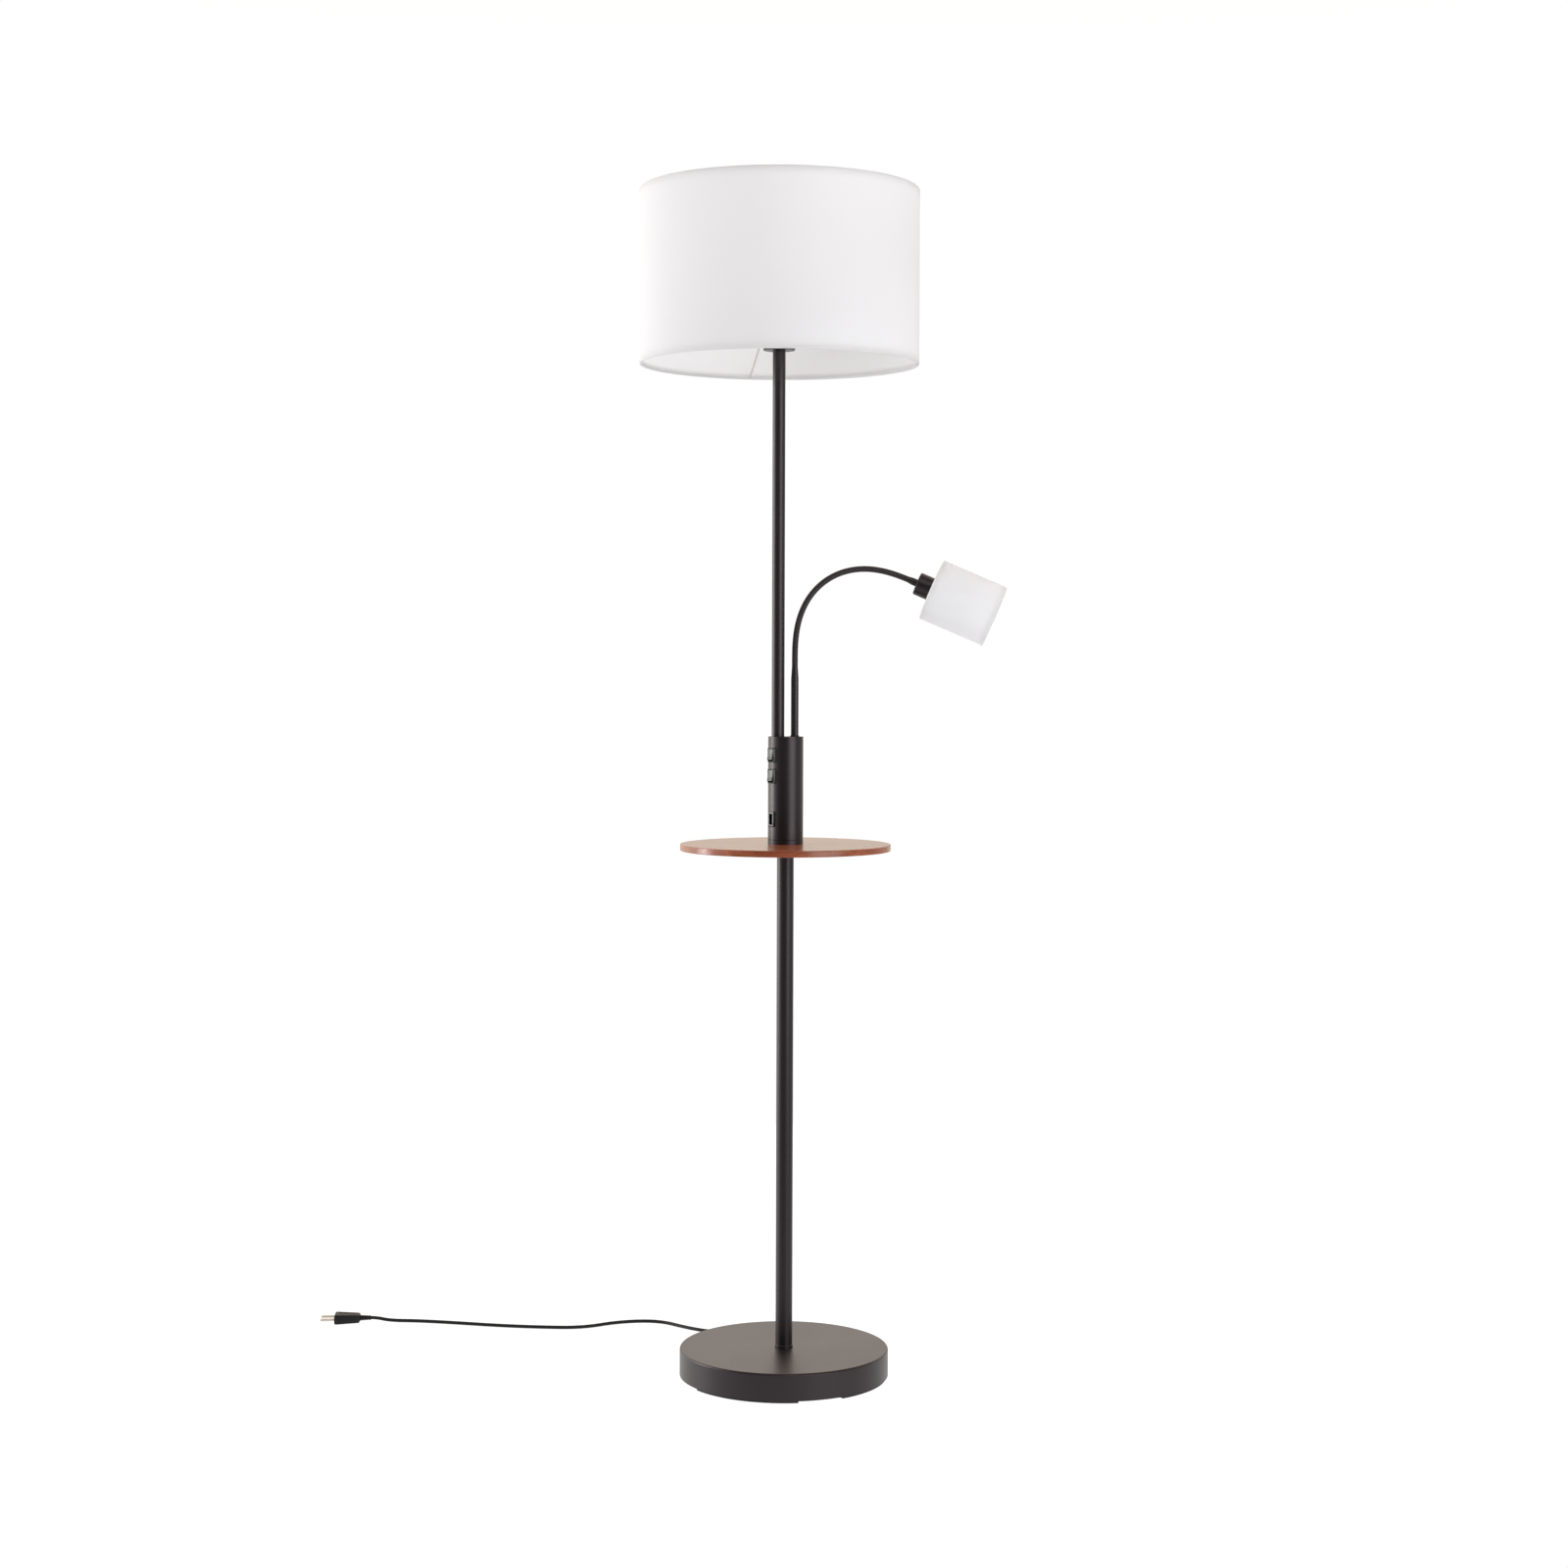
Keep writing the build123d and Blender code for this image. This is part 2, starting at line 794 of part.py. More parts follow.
def neck_stations():
    """Ends of the gooseneck's links: the stem's top, each joint and the ferrule's foot.

    The first and last links stay in line with the stem and the ferrule.
    """
    pitch = (neck_length - ferrule_length) / neck_joint_count
    foot = neck_point(0)
    ferrule_foot = neck_point(neck_length) - neck_direction(neck_length) * ferrule_length
    first_joint = foot + neck_direction(0) * (pitch / 2)
    last_joint = ferrule_foot - neck_direction(neck_length) * (pitch / 2)
    middle_joints = [neck_point((index + 0.5) * pitch) for index in range(1, neck_joint_count - 1)]
    return [foot, first_joint, *middle_joints, last_joint, ferrule_foot]


def neck_joints():
    """Centres of the gooseneck's joints."""
    return neck_stations()[1:-1]


def neck_joint_axes():
    """Axes of the joints, turn about: bending in the gooseneck's plane, then swaying out of it."""
    stations = neck_stations()
    axes = []
    for index in range(neck_joint_count):
        along = (stations[index + 2] - stations[index]).normalized()
        axes.append(neck_side if index % 2 == 0 else neck_side.cross(along))
    return axes


def rib_outline(low, high):
    """(radius, height) points of the hose's ribs between two heights."""
    crest = neck_diameter / 2
    valley = crest - neck_rib_depth
    count = max(1, round((high - low) / neck_rib_pitch))
    pitch = (high - low) / count
    points = []
    for index in range(count):
        foot = low + index * pitch
        points += [
            (valley, foot),
            (crest, foot + 0.25 * pitch),
            (crest, foot + 0.6 * pitch),
            (valley, foot + 0.85 * pitch),
        ]
    return [*points, (valley, high)]


def neck_link(length, socket, ball):
    """Ribbed, bored link of the hose along Z, with a socket at its foot and a ball at its top."""
    bore = neck_bore / 2
    ball_radius = neck_ball_diameter / 2
    socket_radius = ball_radius + neck_ball_room
    shoulder = length - neck_shoulder_setback if ball else length
    ribs = rib_outline(0, shoulder)
    runs = [straight(*ribs)]
    top = (bore, length)
    if ball:
        neck = (sqrt(ball_radius**2 - neck_shoulder_setback**2), shoulder)
        top = (bore, length + sqrt(ball_radius**2 - bore**2))
        runs += [straight(ribs[-1], neck), bend(neck, (ball_radius, length), top)]
    else:
        runs += [straight(ribs[-1], top)]
    if socket:
        foot = (bore, sqrt(socket_radius**2 - bore**2))
        lip = (socket_radius, 0)
        middle = quarter_middle((0, 0), socket_radius, 1, 1)
        runs += [straight(top, foot), bend(foot, middle, lip), straight(lip, ribs[0])]
    else:
        runs += [straight(top, (bore, 0), ribs[0])]
    return turned(*runs)


def gooseneck():
    """Root, links and end of the hose, by name."""
    stations = neck_stations()
    pieces = {}
    for index in range(neck_joint_count + 1):
        along = stations[index + 1] - stations[index]
        first = index == 0
        last = index == neck_joint_count
        name = "gooseneck_root" if first else "gooseneck_end" if last else f"gooseneck_link_{index:02d}"
        frame = Plane(stations[index], x_dir=neck_side, z_dir=along)
        pieces[name] = frame.location * neck_link(along.length, not first, not last)
    return pieces


# Reading lamp, modelled along Z from the back of its cup


def arm_ferrule():
    bore = neck_bore / 2
    edge = ferrule_diameter / 2
    thread = ferrule_thread_diameter / 2
    return turned_outline(
        (bore, -ferrule_length),
        (neck_diameter / 2, -ferrule_length),
        (edge, ferrule_cone - ferrule_length),
        (edge, 0),
        (thread, 0),
        (thread, ferrule_grip),
        (bore, ferrule_grip),
    )


def reading_cup():
    edge = cup_diameter / 2
    inner = edge - cup_wall
    hole = ferrule_thread_diameter / 2 + slip
    return turned_outline(
        (hole, 0),
        (inner, 0),
        (edge, cup_wall),
        (edge, cup_length),
        (inner, cup_length),
        (inner, cup_back),
        (hole, cup_back),
    )


def reading_holder():
    edge = reading_holder_diameter / 2
    flange = cup_diameter / 2
    bore = reading_thread_diameter / 2 + bulb_room
    foot = ferrule_grip + reading_holder_setback
    front = cup_length + reading_holder_reach
    return turned_outline(
        (0, foot),
        (edge, foot),
        (edge, cup_length),
        (flange, cup_length),
        (flange, carrier_foot()),
        (edge, carrier_foot()),
        (edge, front),
        (bore, front),
        (bore, reading_bulb_foot()),
        (0, reading_bulb_foot()),
    )


def carrier_foot():
    return cup_length + reading_flange_thickness


def reading_bulb_foot():
    return cup_length + reading_holder_reach - reading_cap_height


def reading_carrier():
    """Hub, bars and rim that carry the reading shade."""
    rim = reading_shade_diameter - 2 * (shade_wall + slip)
    rim_inner = rim - 2 * carrier_rim_width
    bar_reach = (rim_inner + carrier_rim_width) / 2
    bar_start = (reading_clamp_bore + reading_clamp_width) / 2
    low = carrier_foot()
    high = low + carrier_thickness
    carrier = tube(reading_clamp_diameter, reading_clamp_bore, low, high) + tube(rim, rim_inner, low, high)
    bar_size = (bar_reach - bar_start, carrier_bar_width, carrier_thickness)
    bar = block(bar_size, (bar_start + bar_reach) / 2, 0, low)
    for index in range(carrier_bar_count):
        carrier += Rot(Z=index * 360 / carrier_bar_count) * bar
    return carrier


def reading_clamp_ring():
    low = carrier_foot() + carrier_thickness
    return tube(reading_clamp_diameter, reading_clamp_bore, low, low + reading_clamp_height)


def reading_shade():
    inner = reading_shade_diameter - 2 * shade_wall
    return tube(reading_shade_diameter, inner, cup_length, cup_length + reading_shade_length)


def reading_front_ring():
    radius = reading_shade_diameter / 2 - shade_wall - slip - reading_ring_wire / 2
    height = cup_length + reading_shade_length - reading_ring_wire / 2 - shade_ring_inset
    return Pos(0, 0, height) * Torus(radius, reading_ring_wire / 2)


# Mains cord


def coil_point(quarter):
    """Point and direction of the coil's centre line after a number of quarter turns.

    The turns spiral in on the upper layer, step down in the half turn where the spiral reverses,
    and spiral out again on the lower layer.
    """
    angle = quarter * pi / 2
    past = (quarter - coil_quarters_in) / 4
    radius = coil_inner_radius + coil_pitch * abs(past)
    fall = min(max(2 * past + 0.5, 0), 1)
    height = coil_high - coil_pitch * (3 * fall**2 - 2 * fall**3)
    slope = -coil_pitch * (6 * fall - 6 * fall**2) / pi
    end = quarter in (0, coil_quarters_in, coil_quarters_in + coil_quarters_out)
    spread = 0 if end else coil_pitch / (2 * pi) * (1 if past > 0 else -1)
    outward = Vector(cos(angle), sin(angle), 0)
    onward = Vector(-sin(angle), cos(angle), 0)
    point = coil_centre() + outward * radius + up * height
    return point, (onward * radius + outward * spread + up * slope).normalized()


def coil_centre():
    return Vector(-coil_inner_radius - coil_pitch * coil_quarters_in / 4, coil_centre_y, 0)


def biarc(start, start_direction, end, end_direction):
    """Two arcs that join two points with a given direction at each."""
    chord = end - start
    both = start_direction + end_direction
    spread = 2 * (1 - start_direction.dot(end_direction))
    along = chord.dot(both)
    reach = (sqrt(along**2 + spread * chord.dot(chord)) - along) / spread
    first = start + start_direction * reach
    last = end - end_direction * reach
    middle = (first + last) / 2
    return [
        Edge.make_tangent_arc(start, start_direction, middle),
        Edge.make_tangent_arc(middle, (last - first).normalized(), end),
    ]


def coil_path():
    """Edges of the coil's centre line, with a straight lead as long as the cord is thick at each end."""
    stations = [coil_point(quarter) for quarter in range(coil_quarters_in + coil_quarters_out + 1)]
    first, first_direction = stations[0]
    last, last_direction = stations[-1]
    edges = [Edge.make_line(first - first_direction * cord_diameter, first)]
    for before, after in zip(stations, stations[1:]):
        edges += biarc(*before, *after)
    return [*edges, Edge.make_line(last, last + last_direction * cord_diameter)]


def coil_self_gap(edges, samples=12):
    """Least gap between the coil's own turns, measured on points along its centre line."""
    points = []
    travelled = 0.0
    for edge in edges:
        for index in range(samples):
            points.append((travelled + edge.length * index / samples, edge.position_at(index / samples)))
        travelled += edge.length
    near = pi * coil_inner_radius
    return min(
        (here - there).length
        for count, (place, here) in enumerate(points)
        for other, there in points[:count]
        if place - other > near
    ) - cord_diameter


def mains_cord_coil():
    edges = coil_path()
    path = Wire(edges)
    print("coil length", round(path.length, 1), "least gap to itself", round(coil_self_gap(edges), 2))
    coil = rod(path, cord_diameter)
    print("coil volume over section times length", round(coil.volume / cord_section() / path.length, 4))
    return coil


def cord_section():
    return pi * cord_radius**2


def coil_tie():
    """Flat tie round the bundle of turns at the coil's front."""
    total = coil_quarters_in + coil_quarters_out
    radii = [(coil_point(quarter)[0] - coil_centre()) for quarter in range(3, total + 1, 4)]
    reaches = [hypot(radius.X, radius.Y) for radius in radii]
    inner = min(reaches) - cord_radius - tie_side_room
    outer = max(reaches) + cord_radius + tie_side_room
    low = coil_low - cord_radius - tie_room
    high = coil_high + cord_radius + tie_room
    wide = 2 * tie_thickness
    hollow = Box(tie_width + 1, outer - inner, high - low)
    band = Box(tie_width, outer - inner + wide, high - low + wide) - hollow
    middle = coil_centre() - Vector(0, (inner + outer) / 2, 0)
    return Pos(middle.X, middle.Y, (low + high) / 2) * band


def mains_cord_lead(coil_start):
    """Straight lead from the gland's tip to the coil."""
    start = Vector(0, base_diameter / 2 + gland_length, coil_high)
    return rod(Edge.make_line(start, coil_start), cord_diameter)


def corner_radii(points):
    """Largest arc that the two runs at each inner point leave room for."""
    radii = []
    for before, here, after in zip(points, points[1:], points[2:]):
        turn = (here - before).get_angle(after - here)
        shorter = min((here - before).length, (after - here).length)
        radii.append(arc_share * shorter / tan(radians(turn) / 2))
    return radii


def cord_points(coil_end):
    """Points of the free run, in line with the coil's end and with the plug's tail at its ends."""
    coil_direction = coil_point(coil_quarters_in + coil_quarters_out)[1]
    plug = plug_plane()
    floor = [Vector(x, y, cord_floor) for x, y in cord_run]
    first = coil_end + coil_direction * cord_straight
    last = plug.origin - plug.z_dir * cord_straight
    return [coil_end, first, *floor, last, plug.origin]


def plug_axis_height():
    return plug_thickness / 2 + cord_floor_room


def mains_cord_run(coil_end):
    points = cord_points(coil_end)
    radii = corner_radii(points)
    path = FilletPolyline(*points, radius=radii)
    run = rod(path, cord_diameter)
    print("free run length", round(path.length, 1), "radii", [round(radius) for radius in radii])
    print("run volume over section times length", round(run.volume / cord_section() / path.length, 4))
    return run


def plug_plane():
    """Frame of the plug at the cord's end, with Z along the cord and X level."""
    tail = Vector(*cord_end, plug_axis_height())
    before = Vector(*cord_run[-1], plug_axis_height())
    along = (tail - before).normalized()
    return Plane(tail, x_dir=up.cross(along), z_dir=along)


def plug_body():
    tail = turned_outline(
        (0, 0),
        (plug_tail_tip_diameter / 2, 0),
        (plug_tail_diameter / 2, plug_tail_length),
        (0, plug_tail_length),
    )
    body = extrude(RectangleRounded(plug_width, plug_thickness, plug_edge_radius), plug_length)
    return tail + Pos(0, 0, plug_tail_length) * body


def plug_pins():
    foot = plug_tail_length + plug_length
    tip = foot + pin_length
    pin = turned_outline(
        (0, foot),
        (pin_diameter / 2, foot),
        (pin_diameter / 2, tip - pin_chamfer),
        (pin_diameter / 2 - pin_chamfer, tip),
        (0, tip),
    )
    return [Pos(X=side * pin_spacing / 2) * pin for side in (-1, 1)]


# The whole lamp, one entry for each piece


def moved(location, shapes):
    """One shape or a list of shapes, moved."""
    return [location * shape for shape in shapes] if isinstance(shapes, list) else location * shapes


def lamp_pieces():
    gland, gland_inside = cord_gland()
    coil_edges = coil_path()
    holder_axis = Pos(X=upper_pole_x)
    stem_axis = Pos(X=stem_x)
    head = head_plane().location
    plug = plug_plane().location
    upper_switch, lower_switch = [control_plane(height).location for height in switch_heights()]
    socket = control_plane(usb_height()).location
    bulb_cap, bulb_globe = bulb_pair(
        bulb_thread_diameter,
        bulb_cap_height,
        bulb_neck_diameter,
        bulb_diameter,
        bulb_length,
        holder_bottom + holder_floor,
    )
    reading_bulb_cap, reading_bulb_globe = bulb_pair(
        reading_thread_diameter,
        reading_cap_height,
        reading_neck_diameter,
        reading_bulb_diameter,
        reading_bulb_length,
        reading_bulb_foot(),
    )
    return {
        "base_cover": base_cover(),
        "base_weight": base_weight(),
        "base_plate": base_plate(),
        "base_feet": base_feet(),
        "cord_gland": gland,
        "inner_cables": inner_cables(gland_inside),
        "threaded_nipples": threaded_nipples(),
        "hex_nuts": hex_nuts(),
        "pole_inserts": pole_inserts(),
        "pole_foot_ring": pole_foot_ring(),
        "lower_pole": lower_pole(),
        "upper_pole": upper_pole(),
        "shelf": shelf(),
        "housing_foot": housing_foot(),
        "housing_tube": housing_tube(),
        "housing_lid": housing_lid(),
        "upper_switch_body": upper_switch * switch_body(),
        "upper_switch_rocker": upper_switch * switch_rocker(),
        "lower_switch_body": lower_switch * switch_body(),
        "lower_switch_rocker": lower_switch * switch_rocker(),
        "usb_bezel": socket * usb_bezel(),
        "usb_shell": socket * usb_shell(),
        "usb_power_board": usb_power_board(),
        "lampholder_cap": holder_axis * lampholder_cap(),
        "lampholder_body": holder_axis * lampholder_body(),
        "shade_clamp_rings": moved(holder_axis, shade_clamp_rings()),
        "shade_frame": holder_axis * shade_frame(),
        "shade_top_ring": holder_axis * shade_top_ring(),
        "drum_shade": holder_axis * drum_shade(),
        "bulb_cap": holder_axis * bulb_cap,
        "bulb_globe": holder_axis * bulb_globe,
        "stem_gasket": stem_axis * stem_gasket(),
        "arm_stem": stem_axis * arm_stem(),
        **gooseneck(),
        "arm_ferrule": head * arm_ferrule(),
        "reading_cup": head * reading_cup(),
        "reading_holder": head * reading_holder(),
        "reading_clamp_ring": head * reading_clamp_ring(),
        "reading_carrier": head * reading_carrier(),
        "reading_front_ring": head * reading_front_ring(),
        "reading_shade": head * reading_shade(),
        "reading_bulb_cap": head * reading_bulb_cap,
        "reading_bulb_globe": head * reading_bulb_globe,
        "mains_cord_lead": mains_cord_lead(coil_edges[0].position_at(0)),
        "mains_cord_coil": mains_cord_coil(),
        "coil_tie": coil_tie(),
        "mains_cord_run": mains_cord_run(coil_edges[-1].position_at(1)),
        "plug_body": plug * plug_body(),
        "plug_pins": moved(plug, plug_pins()),
    }


def main():
    os.makedirs("parts", exist_ok=True)
    for name, shapes in lamp_pieces().items():
        shape_list = shapes if isinstance(shapes, list) else [shapes]
        solids = [solid for shape in shape_list for solid in shape.solids()]
        whole = solids[0] if len(solids) == 1 else Compound(children=solids)
        export_step(whole, f"parts/{name}.step")


if __name__ == "__main__":
    main()
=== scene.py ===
"""Shelf floor lamp: fabric, hose, cord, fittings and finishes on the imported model."""

from math import atan2, cos, pi, radians, sin, tau
from typing import NamedTuple

import bpy
from bpy.props import FloatProperty, FloatVectorProperty, IntProperty, PointerProperty
from bpy.types import Operator, Panel, PropertyGroup
from mathutils import Matrix, Vector


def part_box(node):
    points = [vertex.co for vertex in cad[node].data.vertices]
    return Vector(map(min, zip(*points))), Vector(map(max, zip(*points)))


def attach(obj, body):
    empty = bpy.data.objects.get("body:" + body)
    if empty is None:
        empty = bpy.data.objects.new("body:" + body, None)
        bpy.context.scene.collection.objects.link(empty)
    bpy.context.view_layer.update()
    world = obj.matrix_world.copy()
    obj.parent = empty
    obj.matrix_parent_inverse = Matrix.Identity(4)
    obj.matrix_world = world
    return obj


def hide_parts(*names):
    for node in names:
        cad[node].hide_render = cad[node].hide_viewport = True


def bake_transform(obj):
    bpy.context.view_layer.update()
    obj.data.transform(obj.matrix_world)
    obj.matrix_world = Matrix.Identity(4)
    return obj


bl_info = {
    "name": "Shelf Floor Lamp",
    "version": (1, 0, 0),
    "blender": (4, 5, 0),
    "location": "3D View > Sidebar > Lamp",
    "description": "Dresses the packed floor lamp with its fabric, hose, cord and finishes",
    "category": "Object",
}

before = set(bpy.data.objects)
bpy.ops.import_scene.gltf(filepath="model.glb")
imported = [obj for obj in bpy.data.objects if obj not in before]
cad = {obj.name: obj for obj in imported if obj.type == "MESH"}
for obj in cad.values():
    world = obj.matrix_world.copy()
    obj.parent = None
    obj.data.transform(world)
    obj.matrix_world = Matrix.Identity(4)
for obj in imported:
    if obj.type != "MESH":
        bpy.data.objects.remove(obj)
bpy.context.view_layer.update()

MM = 0.001
UP = Vector((0, 0, 1))
WHITE = (1, 1, 1, 1)


class ShadeForm(NamedTuple):
    """Sizes of a cloth shade in millimetres, the share of a full hem that it has, and its sides."""

    radius: float
    low: float
    high: float
    hem: float
    sides: int


class BulbForm(NamedTuple):
    """Sizes of a bulb in millimetres, and the height of its foot."""

    thread: float
    cap_height: float
    neck: float
    globe: float
    length: float
    low: float


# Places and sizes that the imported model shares, in millimetres
POLE_X = -9.7
STEM_X = 11.1
NECK_FOOT = 885.5
NECK_LENGTH = 237.5
NECK_LEAD = 3.0
NECK_TURN = radians(113.4)
NECK_PLANE_TURN = radians(5.5)
FERRULE_LENGTH = 13.0
NECK_JOINTS = 10
CONTROL_TURN = radians(52.4)
SWITCH_HEIGHTS = {"upper": 774.3, "lower": 748.0}
SOCKET_HEIGHT = 694.5
BEZEL_CORNER = 1.0
BEZEL_EDGE = 0.35
ROCKER_AXIS = 20.0
ROCKER_TILT = radians(10.0)
ROCKER_WIDTH = 9.4
HOLDER_LOW = 1299.0
GLAND_HEIGHT = 8.4
BASE_RADIUS = 130.0
DRUM_SHADE = ShadeForm(radius=175.0, low=1261.0, high=1478.0, hem=1.0, sides=192)
READING_SHADE = ShadeForm(radius=39.0, low=20.0, high=105.0, hem=0.8, sides=112)
MAIN_BULB = BulbForm(thread=26.4, cap_height=27.0, neck=26.0, globe=60.0, length=110.0, low=1303.0)
READING_BULB = BulbForm(thread=13.9, cap_height=22.0, neck=14.0, globe=45.0, length=78.0, low=14.0)

# Route of the mains cord, in millimetres: lead, coil and the run along the floor to the plug
CORD_LEAD = [(0.0, 150.0), (0.0, 157.0), (0.0, 165.0), (0.0, 172.0)]
COIL_CENTRE = (-34.85, 178.0)
COIL_INNER_RADIUS = 17.0
COIL_PITCH = 5.1
COIL_QUARTERS_IN = 14
COIL_QUARTERS_OUT = 15
COIL_HIGH = 8.4
CORD_FLOOR = 2.35
CORD_OUT = [(-41.0, 214.1, 3.3), (-49.0, 214.1, 3.1)]
CORD_RUN = [
    (-62.0, 212.5),
    (-95.0, 202.0),
    (-131.0, 226.0),
    (-168.0, 262.0),
    (-222.0, 256.0),
    (-268.0, 223.0),
    (-325.0, 225.0),
    (-384.0, 233.5),
    (-440.0, 247.0),
    (-493.0, 257.5),
    (-530.0, 258.5),
]
PLUG_TAIL = (-556.0, 256.5, 6.55)

# Plug and tie, in millimetres: the plug's block along its own line, and what its back is narrowed to
PLUG_BLOCK = Vector((25.0, 13.0, 34.0))
PLUG_MIDDLE = 31.0
PLUG_BACK = (0.74, 0.8)
TIE_THICKNESS = 0.6
BUCKLE = Vector((6.6, 5.0, 1.6))
BUCKLE_INSET = 6.0
BUCKLE_SINK = 0.1

# Edge of a shade, rolled round its wire: out from the wall and up from the edge, in millimetres
HEM = [
    (0.0, 5.2),
    (0.25, 3.6),
    (0.25, 1.2),
    (-0.5, 0.05),
    (-2.1, -0.25),
    (-3.7, 0.1),
    (-4.25, 1.2),
    (-4.25, 2.9),
    (-3.5, 4.3),
    (-1.7, 5.8),
    (-1.1, 8.5),
]

# Inner face of the cloth, the cloth that both hems take up, and the glued seam, in millimetres
LINER_INSET = 0.8
LINER_END = 10.5
SEAM_WIDTH = 12.0
SEAM_ENDS = 11.0
SEAM_THICKNESS = 0.35
SEAM_GAP = 0.05

# Radius that stands for a point on the axis, and distances at which points merge, in millimetres
AXIS_RADIUS = 0.01
TURNED_MERGE = 0.025
RIB_MERGE = 0.02
COPY_MERGE = 0.001

# Soft lights, in metres: where each stands, what it is aimed at, and its width and height
KEY_LIGHT = ((-2.58, 0.36, 0.95), (0, 0, 0.95), (0.55, 1.5))
FILL_LIGHT = ((2.0, -2.1, 1.05), (0, 0, 1.0), (1.9, 1.7))
TOP_LIGHT = ((0, -2.0, 2.8), (0, 0, 1.0), (2.4, 1.4))
SENSOR_WIDTH = 36
FLOOR_CENTRE = (0, 0.5, 0)
FLOOR_RADIUS = 1.3


class LampSizes(PropertyGroup):
    """Sizes of the pieces that dress the lamp."""

    cord_diameter: FloatProperty(
        name="Cord", description="Thickness of the mains cord", default=0.0046, unit="LENGTH"
    )
    cord_length: FloatProperty(
        name="Cord length", description="Length from the gland to the plug", default=1.776, unit="LENGTH"
    )
    ribs_per_joint: IntProperty(
        name="Hose ribs", description="Ribs of the hose between two joints", default=13, min=4
    )
    hose_diameter: FloatProperty(
        name="Hose", description="Thickness of the gooseneck over its ribs", default=0.0078, unit="LENGTH"
    )
    rib_depth: FloatProperty(
        name="Rib depth", description="Depth of the grooves in the hose", default=0.0003, unit="LENGTH"
    )
    thread_pitch: FloatProperty(
        name="Weave", description="Distance between threads of the cloth", default=0.0007, unit="LENGTH"
    )


class LampColours(PropertyGroup):
    """Colours of the lamp's finishes."""

    paint: FloatVectorProperty(
        name="Paint",
        description="Powder coat on the metal",
        default=(0.0068, 0.0056, 0.006),
        subtype="COLOR",
    )
    paint_gloss: FloatVectorProperty(
        name="Paint gloss",
        description="Tint of the paint's reflections",
        default=(0.9, 0.77, 0.83),
        subtype="COLOR",
    )
    plastic: FloatVectorProperty(
        name="Plastic",
        description="Switches and socket",
        default=(0.012, 0.0115, 0.012),
        subtype="COLOR",
    )
    wood_light: FloatVectorProperty(
        name="Wood, light",
        description="Light grain of the shelf",
        default=(0.36, 0.103, 0.045),
        subtype="COLOR",
    )
    wood_dark: FloatVectorProperty(
        name="Wood, dark",
        description="Dark grain of the shelf",
        default=(0.19, 0.047, 0.02),
        subtype="COLOR",
    )
    fabric: FloatVectorProperty(
        name="Fabric",
        description="Cloth of both shades",
        default=(0.88, 0.884, 0.9),
        subtype="COLOR",
    )


class LampStage(PropertyGroup):
    """Camera and light."""

    distance: FloatProperty(
        name="Distance", description="From the lamp's axis to the camera", default=3.29, unit="LENGTH"
    )
    height: FloatProperty(name="Height", description="Camera above the floor", default=0.882, unit="LENGTH")
    lens: FloatProperty(name="Lens", description="Focal length in millimetres", default=60.5)
    rise: FloatProperty(name="Shift up", description="Shift of the level camera", default=-0.0737)
    side: FloatProperty(name="Shift right", description="Shift of the level camera", default=-0.00125)
    roll: FloatProperty(name="Roll", description="Turn about the view", default=-0.0032, subtype="ANGLE")
    key: FloatProperty(
        name="Key light", description="Power of the left light", default=33.0, unit="POWER"
    )
    fill: FloatProperty(
        name="Fill light", description="Power of the right light", default=44.0, unit="POWER"
    )
    top: FloatProperty(
        name="Top light", description="Power of the light above", default=20.0, unit="POWER"
    )


class LampSettings(PropertyGroup):
    """All the settings of the lamp."""

    sizes: PointerProperty(type=LampSizes)
    colours: PointerProperty(type=LampColours)
    stage: PointerProperty(type=LampStage)


def settings():
    return bpy.context.scene.floor_lamp


# Shader maths


class Field:
    """A socket's value that varies over a surface, for use in Python expressions."""

    def __init__(self, tree, socket):
        self.tree = tree
        self.socket = socket

    def work(self, operation, *operands):
        node = self.tree.nodes.new("ShaderNodeMath")
        node.operation = operation
        for slot, operand in zip(node.inputs, operands):
            feed(self.tree, slot, operand)
        return Field(self.tree, node.outputs[0])

    def __add__(self, other):
        return self.work("ADD", self, other)

    __radd__ = __add__

    def __sub__(self, other):
        return self.work("SUBTRACT", self, other)

    def __rsub__(self, other):
        return self.work("SUBTRACT", other, self)

    def __mul__(self, other):
        return self.work("MULTIPLY", self, other)

    __rmul__ = __mul__

    def sine(self):
        return self.work("SINE", self)

    def rise(self, low, high):
        """Smooth step from 0 at low to 1 at high."""
        node = self.tree.nodes.new("ShaderNodeMapRange")
        node.interpolation_type = "SMOOTHSTEP"
        for key, value in {"Value": self, "From Min": low, "From Max": high}.items():
            feed(self.tree, node.inputs[key], value)
        return Field(self.tree, node.outputs[0])


def feed(tree, slot, value):
    """Links a field to a socket, or sets the socket to a plain value."""
    if isinstance(value, Field):
        tree.links.new(value.socket, slot)
    else:
        slot.default_value = value


def parts_of(tree, vector):
    """The three parts of a vector, as fields."""
    node = tree.nodes.new("ShaderNodeSeparateXYZ")
    feed(tree, node.inputs[0], vector)
    return [Field(tree, part) for part in node.outputs]


def mixed(tree, share, first, second):
    """Colour between two colours."""
    node = tree.nodes.new("ShaderNodeMix")
    node.data_type = "RGBA"
    for slot, value in {0: share, 6: colour(first), 7: colour(second)}.items():
        feed(tree, node.inputs[slot], value)
    return Field(tree, node.outputs[2])


def colour(value):
    return value if isinstance(value, Field) else (*tuple(value)[:3], 1)


def tint(value, share):
    """A colour made lighter or darker."""
    return tuple(part * share for part in value)


